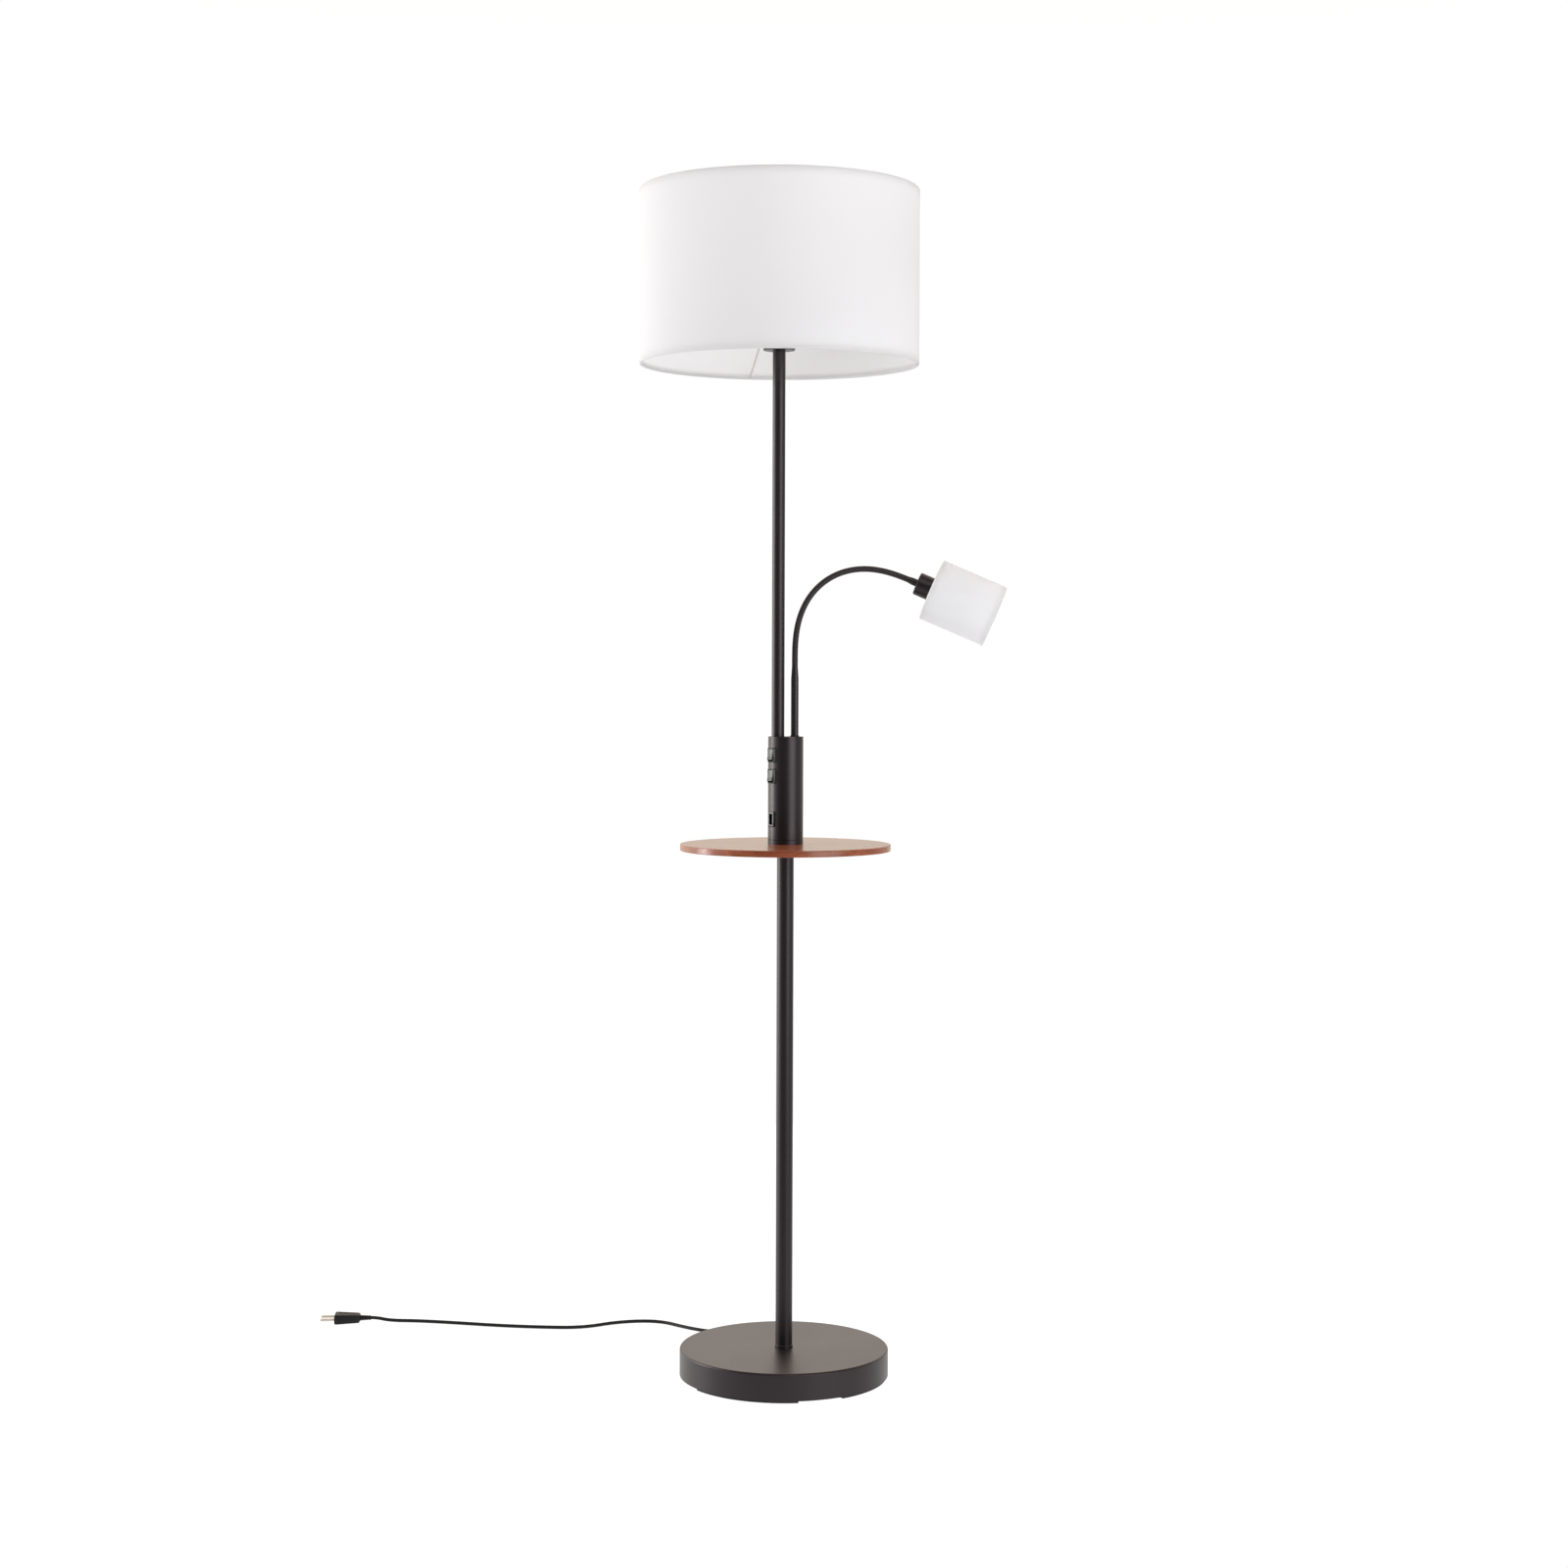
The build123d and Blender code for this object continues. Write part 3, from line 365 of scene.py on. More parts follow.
class Finish:
    """A material and the nodes that feed its surface."""

    def __init__(self, name):
        self.material = bpy.data.materials.new(name)
        self.material.use_nodes = True
        self.tree = self.material.node_tree
        self.surface = self.tree.nodes["Principled BSDF"]

    def node(self, kind, inputs, output=0):
        """Adds a node with its inputs, and gives one of its outputs."""
        made = self.tree.nodes.new(kind)
        for key, value in inputs.items():
            feed(self.tree, made.inputs[key], value)
        return Field(self.tree, made.outputs[output])

    def place(self, scale=(1, 1, 1), source="Object"):
        """Coordinates on the piece, scaled."""
        coordinates = self.node("ShaderNodeTexCoord", {}, source)
        return self.node("ShaderNodeMapping", {"Vector": coordinates, "Scale": scale})

    def noise(self, where, scale, detail, roughness=0.55):
        wanted = {"Vector": where, "Scale": scale, "Detail": detail, "Roughness": roughness}
        return self.node("ShaderNodeTexNoise", wanted)

    def ramp(self, value, low, high):
        """Rise from black at low to white at high."""
        rising = self.node("ShaderNodeValToRGB", {"Fac": value})
        for element, place in zip(rising.socket.node.color_ramp.elements, (low, high)):
            element.position = place
        return rising

    def mix(self, share, first, second):
        return mixed(self.tree, share, first, second)

    def bump(self, height, distance, strength):
        wanted = {"Height": height, "Distance": distance, "Strength": strength}
        return self.node("ShaderNodeBump", wanted)

    def lit_through(self, share, tone):
        """Lets a share of the light through, as thin cloth does."""
        through = self.tree.nodes.new("ShaderNodeBsdfTranslucent")
        both = self.tree.nodes.new("ShaderNodeMixShader")
        feed(self.tree, through.inputs["Color"], colour(tone))
        feed(self.tree, both.inputs["Fac"], share)
        self.tree.links.new(self.surface.outputs[0], both.inputs[1])
        self.tree.links.new(through.outputs[0], both.inputs[2])
        self.tree.links.new(both.outputs[0], self.tree.nodes["Material Output"].inputs["Surface"])

    def show(self, **sockets):
        """Sets the surface's sockets by name, with underscores for spaces, and gives the material."""
        for key, value in sockets.items():
            feed(self.tree, self.surface.inputs[key.replace("_", " ")], value)
        return self.material


# Finishes


def powder_coat(name, base, rough, gloss=(1, 1, 1)):
    """Satin powder coat: a faint orange peel and soft changes in gloss."""
    finish = Finish(name)
    where = finish.place()
    peel = finish.noise(where, 900.0, 2.0)
    cloud = finish.noise(where, 14.0, 4.0)
    speck = finish.noise(where, 2600.0, 1.0)
    return finish.show(
        Base_Color=finish.mix(cloud, tint(base, 0.8), tint(base, 1.25)),
        Roughness=rough - 0.04 + 0.08 * cloud + 0.04 * speck,
        Specular_Tint=colour(gloss),
        Normal=finish.bump(peel + 0.3 * speck, 0.000004, 0.3),
    )


def black_paint():
    colours = settings().colours
    return powder_coat("black powder coat", colours.paint, 0.36, colours.paint_gloss)


def hose_paint():
    colours = settings().colours
    return powder_coat("black hose coat", tint(colours.paint, 0.9), 0.3, colours.paint_gloss)


def white_wire():
    return powder_coat("white wire coat", (0.52, 0.5, 0.47), 0.45)


def walnut():
    """Red-brown veneer with grain along X under a satin lacquer."""
    colours = settings().colours
    finish = Finish("walnut veneer")
    drift = finish.noise(finish.place((1.2, 5.0, 5.0)), 3.0, 3.0)
    where = finish.place((1.0, 14.0, 14.0))
    sideways = finish.node("ShaderNodeCombineXYZ", {1: drift * 1.4})
    bent = finish.node("ShaderNodeVectorMath", {0: where, 1: sideways})
    broad = finish.noise(bent, 6.0, 5.0, 0.6)
    fine = finish.noise(finish.place((6.0, 420.0, 420.0)), 2.2, 3.0, 0.6)
    flecks = finish.noise(finish.place((28.0, 1500.0, 1500.0)), 1.6, 1.0)
    pores = finish.ramp(flecks, 0.6, 0.72)
    grain = finish.ramp(broad * 0.72 + fine * 0.28, 0.36, 0.64)
    wood = finish.mix(grain, colours.wood_dark, colours.wood_light)
    return finish.show(
        Base_Color=finish.mix(pores * 0.5, wood, tint(colours.wood_dark, 0.5)),
        Roughness=0.2 + 0.08 * fine + 0.08 * pores,
        Specular_IOR_Level=0.38,
        Normal=finish.bump(fine * 0.4 - pores, 0.00004, 0.4),
    )


def woven(name, through, lightness):
    """White plain weave with slubs in its threads, on a liner that lets a share of the light through."""
    finish = Finish(name)
    pitch = settings().sizes.thread_pitch
    cloth = tint(settings().colours.fabric, lightness)
    across, along = parts_of(finish.tree, finish.place(source="UV"))[:2]
    warp = (across * (tau / pitch)).sine()
    weft = (along * (tau / pitch)).sine()
    slub_up = finish.noise(finish.place((900.0, 40.0, 1.0), source="UV"), 1.0, 2.0)
    slub_round = finish.noise(finish.place((40.0, 900.0, 1.0), source="UV"), 1.0, 2.0)
    threads = warp * weft * 0.5 + slub_up * 0.6 + slub_round * 0.6
    shade = finish.ramp(slub_up * 0.5 + slub_round * 0.5, 0.35, 0.65)
    finish.lit_through(through, cloth)
    return finish.show(
        Base_Color=finish.mix(shade, tint(cloth, 0.97), tint(cloth, 1.02)),
        Roughness=0.86 + 0.08 * shade,
        Normal=finish.bump(threads, 0.00005, 0.15),
    )


def shade_fabric():
    return woven("white shade fabric", 0.46, 1.0)


def reading_fabric():
    return woven("white reading shade fabric", 0.54, 1.085)


def plastic(name, base, rough, grain=1400.0, gloss=0.5):
    """Moulded plastic with a fine spark-eroded texture."""
    finish = Finish(name)
    where = finish.place()
    texture = finish.noise(where, grain, 2.0)
    cloud = finish.noise(where, 40.0, 2.0)
    return finish.show(
        Base_Color=finish.mix(cloud, tint(base, 0.85), tint(base, 1.2)),
        Roughness=rough + 0.1 * texture,
        Specular_IOR_Level=gloss,
        Normal=finish.bump(texture, 0.00002, 0.4),
    )


def switch_plastic():
    return plastic("switch plastic", settings().colours.plastic, 0.3)


def holder_plastic():
    return plastic("lampholder plastic", settings().colours.plastic, 0.45)


def rubber():
    return plastic("black rubber", (0.015, 0.015, 0.015), 0.72, 700.0)


def cord_sheath():
    return plastic("cord sheath", (0.007, 0.0065, 0.007), 0.5, 1800.0, 0.25)


def metal(name, base, rough, brushed):
    """Plated or brass metal with fine marks along one direction."""
    finish = Finish(name)
    marks = finish.noise(finish.place(brushed), 90.0, 3.0)
    cloud = finish.noise(finish.place(), 60.0, 3.0)
    return finish.show(
        Base_Color=finish.mix(cloud, tint(base, 0.85), base),
        Metallic=1.0,
        Roughness=rough + 0.12 * marks,
        Normal=finish.bump(marks, 0.00002, 0.3),
    )


def plated_steel():
    return metal("zinc plated steel", (0.6, 0.6, 0.6), 0.3, (1, 1, 20))


def black_steel():
    return metal("blackened steel", (0.022, 0.022, 0.024), 0.4, (1, 1, 20))


def cap_nickel():
    return metal("nickel plated brass", (0.72, 0.68, 0.6), 0.22, (1, 1, 30))


def cast_iron():
    finish = Finish("cast iron")
    grit = finish.noise(finish.place(), 380.0, 5.0, 0.7)
    return finish.show(
        Base_Color=finish.mix(grit, (0.03, 0.03, 0.03), (0.11, 0.105, 0.1)),
        Metallic=0.4,
        Roughness=0.6 + 0.25 * grit,
        Normal=finish.bump(grit, 0.0003, 0.6),
    )


def frosted_glass():
    """Opal bulb glass: a milky white with a soft gloss."""
    finish = Finish("opal glass")
    cloud = finish.noise(finish.place(), 70.0, 2.0)
    return finish.show(
        Base_Color=finish.mix(cloud, (0.84, 0.84, 0.82), (0.9, 0.9, 0.88)),
        Roughness=0.24 + 0.08 * cloud,
        Coat_Weight=0.4,
        Coat_Roughness=0.12,
    )


def circuit_board():
    finish = Finish("circuit board")
    tracks = finish.ramp(finish.noise(finish.place(), 160.0, 1.0), 0.5, 0.52)
    return finish.show(
        Base_Color=finish.mix(tracks, (0.012, 0.09, 0.03), (0.03, 0.16, 0.06)),
        Roughness=0.4 + 0.1 * tracks,
        Normal=finish.bump(tracks, 0.00004, 0.5),
    )


def lit_floor():
    """White floor lit from below, so that it casts no shadow."""
    return Finish("lit floor").show(
        Base_Color=(0, 0, 0, 1), Emission_Color=WHITE, Emission_Strength=1.0
    )


made_finishes = {}


def finish_of(maker):
    """The material of a finish, made once."""
    if maker not in made_finishes:
        made_finishes[maker] = maker()
    return made_finishes[maker]


# Modelling


def clear_selection():
    if bpy.context.object and bpy.context.object.mode != "OBJECT":
        bpy.ops.object.mode_set(mode="OBJECT")
    bpy.ops.object.select_all(action="DESELECT")


def only(piece):
    """Leaves one piece selected and active."""
    clear_selection()
    piece.select_set(True)
    bpy.context.view_layer.objects.active = piece


def edit():
    """Goes to edit mode with all of the active piece selected."""
    bpy.ops.object.mode_set(mode="EDIT")
    bpy.ops.mesh.select_all(action="SELECT")


def select_faces(piece, axis):
    """Goes to edit mode with only the faces across an axis selected."""
    edit()
    bpy.ops.mesh.select_mode(type="FACE")
    bpy.ops.mesh.select_all(action="DESELECT")
    bpy.ops.object.mode_set(mode="OBJECT")
    for face in piece.data.polygons:
        face.select = abs(face.normal[axis]) > 0.9
    bpy.ops.object.mode_set(mode="EDIT")


def face_out():
    """Turns the faces of the active piece outwards."""
    edit()
    bpy.ops.mesh.normals_make_consistent(inside=False)
    bpy.ops.object.mode_set(mode="OBJECT")


def done(name):
    """Names the finished mesh and leaves it alone in object mode."""
    if bpy.context.object.mode != "OBJECT":
        bpy.ops.object.mode_set(mode="OBJECT")
    piece = bpy.context.object
    piece.name = name
    piece.data.name = name
    return piece


def soften(angle):
    """Shades the active piece smooth, apart from edges sharper than an angle in degrees."""
    bpy.ops.object.shade_smooth_by_angle(angle=radians(angle))


def turned(name, outline, segments, smooth=40.0, closed=False):
    """Round piece about Z: a circle drawn out from point to point of an outline in millimetres."""
    points = [(max(radius, AXIS_RADIUS) * MM, height * MM) for radius, height in outline]
    if closed:
        points.append(points[0])
    clear_selection()
    bpy.ops.mesh.primitive_circle_add(vertices=segments, radius=points[0][0])
    edit()
    bpy.ops.transform.translate(value=(0, 0, points[0][1]))
    for (before, low), (radius, height) in zip(points, points[1:]):
        bpy.ops.mesh.extrude_edges_move(TRANSFORM_OT_translate={"value": (0, 0, height - low)})
        share = radius / before
        bpy.ops.transform.resize(value=(share, share, 1), center_override=(0, 0, height))
    bpy.ops.mesh.select_all(action="SELECT")
    bpy.ops.mesh.remove_doubles(threshold=TURNED_MERGE * MM)
    face_out()
    piece = done(name)
    soften(smooth)
    return piece


def block(place, size):
    """Box about a place, in metres."""
    clear_selection()
    bpy.ops.mesh.primitive_cube_add(size=1, location=place, scale=size)
    bpy.ops.object.transform_apply(location=True, rotation=True, scale=True)
    return bpy.context.object


def line_through(context, name, kind, points):
    """Curve of one spline on points in millimetres."""
    curve = bpy.data.curves.new(name, "CURVE")
    curve.dimensions = "3D"
    spline = curve.splines.new(kind)
    spline.points.add(len(points) - 1)
    for point, place in zip(spline.points, points):
        point.co = (*(Vector(place) * MM), 1)
    line = bpy.data.objects.new(name, curve)
    context.scene.collection.objects.link(line)
    return line


def bevelled(piece, width, segments, sharper=30.0):
    """Adds a bevel in millimetres to the edges sharper than an angle in degrees."""
    edges = piece.modifiers.new("edges", "BEVEL")
    edges.width = width * MM
    edges.segments = segments
    edges.limit_method = "ANGLE"
    edges.angle_limit = radians(sharper)


def walled(piece, thickness, offset):
    """Adds a wall in millimetres to a sheet, outwards at an offset of 1 and inwards at -1."""
    wall = piece.modifiers.new("wall", "SOLIDIFY")
    wall.thickness = thickness * MM
    wall.offset = offset


def apply_modifiers(piece):
    only(piece)
    for modifier in list(piece.modifiers):
        bpy.ops.object.modifier_apply(modifier=modifier.name)


def put(piece, place):
    """Moves a finished mesh into place and leaves its object at the origin."""
    only(piece)
    piece.matrix_world = place
    bpy.ops.object.transform_apply(location=True, rotation=True, scale=True)
    return piece


def joined(name, pieces):
    """One piece made of several meshes."""
    only(pieces[0])
    for piece in pieces:
        piece.select_set(True)
    bpy.ops.object.join()
    return done(name)


def wrapped(piece, place, radius):
    """Lays a flat map round the piece's axis, in metres round it and along it."""
    back = place.inverted()
    layer = piece.data.uv_layers.new(name="wrap")
    points = [back @ vertex.co for vertex in piece.data.vertices]
    for face in piece.data.polygons:
        middle = back @ face.center
        start = atan2(middle.y, middle.x)
        for loop in face.loop_indices:
            point = points[piece.data.loops[loop].vertex_index]
            turn = (atan2(point.y, point.x) - start + pi) % tau - pi
            layer.data[loop].uv = ((start + turn) * radius, point.z)
    return piece


def dressed(piece, maker, slot, body, *replaced):
    """Gives a piece its finish and the body that carries it, and hides the pieces that it replaces. The
    slot is not used.
    """
    piece.data.materials.clear()
    piece.data.materials.append(finish_of(maker))
    if body:
        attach(piece, body)
    if replaced:
        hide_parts(*replaced)
    return piece


def frame_at(origin, side, out):
    """Placing matrix with X along side, Z along out, and its origin in millimetres."""
    third = out.cross(side)
    turn = Matrix((side, third, out)).transposed().to_4x4()
    return Matrix.Translation(Vector(origin) * MM) @ turn


def eased(share):
    """Share from 0 to 1 that starts and ends gently."""
    return 3 * share**2 - 2 * share**3


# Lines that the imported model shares


def neck_side():
    return Vector((sin(NECK_PLANE_TURN), cos(NECK_PLANE_TURN), 0))


def neck_direction(distance):
    share = max(distance - NECK_LEAD, 0) / (NECK_LENGTH - NECK_LEAD)
    turn = NECK_TURN * eased(share)
    out = Vector((cos(NECK_PLANE_TURN), -sin(NECK_PLANE_TURN), 0))
    return out * sin(turn) + UP * cos(turn)


def neck_point(distance, steps=120):
    """Point on the gooseneck's centre line, in millimetres."""
    step = distance / steps
    point = Vector((STEM_X, 0, NECK_FOOT))
    for index in range(steps):
        point += neck_direction((index + 0.5) * step) * step
    return point


def head_frame():
    return frame_at(neck_point(NECK_LENGTH), neck_side(), neck_direction(NECK_LENGTH))


def holder_frame():
    return Matrix.Translation((POLE_X * MM, 0, 0))


def control_frame(height):
    """Frame on the housing's axis: X along the wall, Y up, Z out through the controls."""
    out = Vector((-sin(CONTROL_TURN), -cos(CONTROL_TURN), 0))
    return frame_at((0, 0, height), UP.cross(out), out)


def plug_frame():
    tail = Vector(PLUG_TAIL)
    along = (tail - Vector((*CORD_RUN[-1], PLUG_TAIL[2]))).normalized()
    return frame_at(tail, UP.cross(along), along)


def coil_points():
    """Points of the coil: in on the upper layer, down where it turns, and out on the lower one."""
    points = []
    per_quarter = 4
    for index in range((COIL_QUARTERS_IN + COIL_QUARTERS_OUT) * per_quarter + 1):
        quarter = index / per_quarter
        past = (quarter - COIL_QUARTERS_IN) / 4
        radius = (COIL_INNER_RADIUS + COIL_PITCH * abs(past)) / cos(pi / (4 * per_quarter))
        fall = min(max(2 * past + 0.5, 0), 1)
        height = COIL_HIGH - COIL_PITCH * eased(fall)
        angle = quarter * pi / 2
        x = COIL_CENTRE[0] + radius * cos(angle)
        points.append((x, COIL_CENTRE[1] + radius * sin(angle), height))
    return points


def cord_points():
    tail = Vector(PLUG_TAIL)
    along = plug_frame().to_3x3() @ UP
    lead = [(x, y, COIL_HIGH) for x, y in CORD_LEAD]
    run = [(x, y, CORD_FLOOR) for x, y in CORD_RUN]
    return [*lead, *coil_points(), *CORD_OUT, *run, tuple(tail - along * 8), tuple(tail)]


def shade_outline(form):
    """Outline of a cloth shade whose edges are rolled round their wires."""
    bottom = [(form.radius + out * form.hem, form.low + rise * form.hem) for out, rise in HEM]
    top = [(form.radius + out * form.hem, form.high - rise * form.hem) for out, rise in HEM]
    inner = form.radius - LINER_INSET
    end = LINER_END * form.hem
    return [*bottom, (inner, form.low + end), (inner, form.high - end), *reversed(top)]


# Operators


class LAMP_OT_stage(Operator):
    """Add the camera, the lights and the pale floor"""

    bl_idname = "lamp.stage"
    bl_label = "Stage"

    def execute(self, context):
        stage = settings().stage
        context.scene.view_settings.view_transform = "Standard"
        clear_selection()
        place = (0, -stage.distance, stage.height)
        bpy.ops.object.camera_add(location=place, rotation=(pi / 2, stage.roll, 0))
        camera = context.object
        camera.name = "camera"
        camera.data.lens = stage.lens
        camera.data.sensor_width = SENSOR_WIDTH
        camera.data.shift_x = stage.side
        camera.data.shift_y = stage.rise
        camera.data.clip_end = 100
        context.scene.camera = camera
        self.softbox("key light", KEY_LIGHT, stage.key)
        self.softbox("fill light", FILL_LIGHT, stage.fill)
        self.softbox("top light", TOP_LIGHT, stage.top)
        self.floor()
        self.surroundings(context)
        return {"FINISHED"}

    def softbox(self, name, setting, power):
        place, aim, size = setting
        bpy.ops.object.light_add(type="AREA", location=place)
        light = bpy.context.object
        light.name = name
        light.data.shape = "RECTANGLE"
        light.data.size, light.data.size_y = size
        light.data.energy = power
        light.rotation_euler = (Vector(aim) - Vector(place)).to_track_quat("-Z", "Y").to_euler()

    def floor(self):
        clear_selection()
        bpy.ops.mesh.primitive_circle_add(
            vertices=128, radius=FLOOR_RADIUS, location=FLOOR_CENTRE, fill_type="NGON"
        )
        bpy.ops.object.transform_apply(location=True, rotation=True, scale=True)
        floor = bpy.context.object
        floor.name = "floor"
        floor.data.materials.append(finish_of(lit_floor))

    def surroundings(self, context):
        """Pale backdrop that lights the lamp least from behind the camera, and warmly from the back."""
        world = bpy.data.worlds.new("studio")
        world.use_nodes = True
        context.scene.world = world
        tree = world.node_tree
        direction = tree.nodes.new("ShaderNodeTexCoord").outputs["Generated"]
        x, y, z = parts_of(tree, Field(tree, direction))

        # Shares of the directions, from 0 to 1, with x to the right, y away from the camera and z up
        side = y.rise(-0.75, -0.05)
        back = y.rise(0.3, 0.75)
        left = x.rise(-0.2, -0.95)
        right = x.rise(0.3, 0.9)
        above = z.rise(0.2, 0.42)
        below = z.rise(-0.08, -0.5)
        flank = x.rise(-0.35, -0.95) * (z.rise(0.45, 0.15) * z.rise(-0.25, -0.1))
        wall = back * (z.rise(0.24, 0.12) * z.rise(-0.2, -0.03))
        seen = Field(tree, tree.nodes.new("ShaderNodeLightPath").outputs["Is Camera Ray"])

        # Brightness as light, and as the plain backdrop that the camera sees
        near = 0.1 + side * (0.65 + left * 0.3 - right * 0.2 + flank * 1.15)
        light = near + back * (0.27 + above * 0.9)
        level = light + seen * (0.72 + back * 0.3 - light)
        plain = mixed(tree, wall * (1 - seen), WHITE, (0.97, 0.985, 0.81))
        background = tree.nodes["Background"]
        feed(tree, background.inputs["Color"], mixed(tree, above, plain, (1, 0.84, 0.72)))
        feed(tree, background.inputs["Strength"], level + below * (1.0 + side * 0.02 - level))


class LAMP_OT_mains_cord(Operator):
    """Add the mains cord with its gland, tie and plug"""

    bl_idname = "lamp.mains_cord"
    bl_label = "Mains cord"

    def execute(self, context):
        sizes = settings().sizes
        points = cord_points()
        cord = line_through(context, "mains_cord", "NURBS", points)
        spline = cord.data.splines[0]
        spline.order_u = 3
        spline.use_endpoint_u = True
        spline.resolution_u = 6
        cord.data.bevel_depth = sizes.cord_diameter / 2
        cord.data.bevel_resolution = 5
        cord.data.use_fill_caps = True
        stretches = ["mains_cord_lead", "mains_cord_coil", "mains_cord_run"]
        dressed(cord, cord_sheath, "cord_plastic", "lamp", *stretches)
        self.gland()
        tie = self.tie()
        plug = self.plug()
        return {"FINISHED"}

    def gland(self):
        """Ribbed strain relief through the base's rear wall."""
        outline = [(0, -3.6), (4.4, -3.6), (4.4, -1.2), (3.6, -1.2)]
        outline += [(3.6, 0), (4.4, 0.02), (4.5, 0.6), (4.4, 2.4)]
        for index in range(5):
            low = 3.0 + index * 3.1
            crest = 4.3 - index * 0.22
            groove = crest - 0.75
            outline += [(groove, low), (groove, low + 1.0), (crest, low + 1.3), (crest, low + 2.7)]
        outline += [(3.2, 19.2), (2.9, 20), (0, 20)]
        piece = turned("cord_gland_sleeve", outline, 32)
        place = frame_at((0, BASE_RADIUS, GLAND_HEIGHT), Vector((1, 0, 0)), Vector((0, 1, 0)))
        dressed(put(piece, place), rubber, "rubber", "lamp", "cord_gland")

    def tie(self):
        """Flat band round the coil's turns, with a small buckle on top."""
        low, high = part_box("coil_tie")
        middle = (low + high) / 2
        band = block(middle, high - low)
        select_faces(band, 0)
        bpy.ops.mesh.delete(type="ONLY_FACE")
        bpy.ops.object.mode_set(mode="OBJECT")
        bevelled(band, 1.8, 5)
        walled(band, TIE_THICKNESS, -1)
        apply_modifiers(band)
        place = (middle.x, low.y + BUCKLE_INSET * MM, high.z - BUCKLE_SINK * MM)
        buckle = block(place, BUCKLE * MM)
        bevelled(buckle, 0.5, 3)
        apply_modifiers(buckle)
        piece = joined("coil_tie_band", [band, buckle])
        soften(40.0)
        return dressed(piece, rubber, "cord_plastic", "lamp", "coil_tie")

    def plug(self):
        """Flat plug with a tapered back, finger grips and a ribbed tail."""
        outline = [(0, 0), (2.9, 0), (3.1, 0.6)]
        for index in range(4):
            low = 1.2 + index * 3.0
            crest = 3.2 + index * 0.2
            groove = crest - 0.6
            outline += [(crest, low), (crest, low + 1.5), (groove, low + 1.7), (groove, low + 2.7)]
        outline += [(4.0, 13.2), (4.0, 15.0), (0, 15.0)]
        tail = turned("plug_tail", outline, 32)
        body = block(UP * PLUG_MIDDLE * MM, PLUG_BLOCK * MM)
        for vertex in body.data.vertices:
            if vertex.co.z < PLUG_MIDDLE * MM:
                vertex.co.x *= PLUG_BACK[0]
                vertex.co.y *= PLUG_BACK[1]
        select_faces(body, 1)
        bpy.ops.mesh.inset(thickness=5.0 * MM)
        bpy.ops.mesh.inset(thickness=1.2 * MM, depth=-0.7 * MM)
        bpy.ops.object.mode_set(mode="OBJECT")
        bevelled(body, 2.4, 4, 50.0)
        apply_modifiers(body)
        piece = joined("plug_shell", [body, tail])
        soften(40.0)
        return dressed(put(piece, plug_frame()), cord_sheath, "cord_plastic", "lamp", "plug_body")


class LAMP_OT_shades(Operator):
    """Add the cloth drum shade and the cloth reading shade"""

    bl_idname = "lamp.shades"
    bl_label = "Shades"

    def execute(self, context):
        drum = self.shade("drum_shade_cloth", shade_fabric, DRUM_SHADE, holder_frame(), "lamp")
        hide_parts("drum_shade")
        small = self.shade(
            "reading_shade_cloth", reading_fabric, READING_SHADE, head_frame(), "reading_head"
        )
        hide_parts("reading_shade")
        return {"FINISHED"}

    def shade(self, name, maker, form, place, body):
        piece = turned(name, shade_outline(form), form.sides, smooth=50.0, closed=True)
        put(piece, place)
        wrapped(piece, place, form.radius * MM)
        dressed(piece, maker, "shade_fabric", body)
        seam = self.seam(name + "_seam", form, place)
        dressed(seam, maker, "shade_fabric", body)
        return piece

    def seam(self, name, form, place):
        """Glued overlap of the cloth at the back, a narrow strip along the shade."""
        clear_selection()
        bpy.ops.mesh.primitive_grid_add(x_subdivisions=8, y_subdivisions=2, size=1)
        strip = bpy.context.object
        out = form.radius + SEAM_GAP
        middle = (form.low + form.high) / 2
        length = form.high - form.low - SEAM_ENDS * form.hem
        for vertex in strip.data.vertices:
            angle = pi / 2 + SEAM_WIDTH * form.hem / form.radius * vertex.co.x
            height = middle + length * vertex.co.y
            vertex.co = (out * cos(angle) * MM, out * sin(angle) * MM, height * MM)
        face_out()
        walled(strip, SEAM_THICKNESS, 1)
        apply_modifiers(strip)
        face_out()
        done(name)
        soften(40.0)
        put(strip, place)
        return wrapped(strip, place, form.radius * MM)


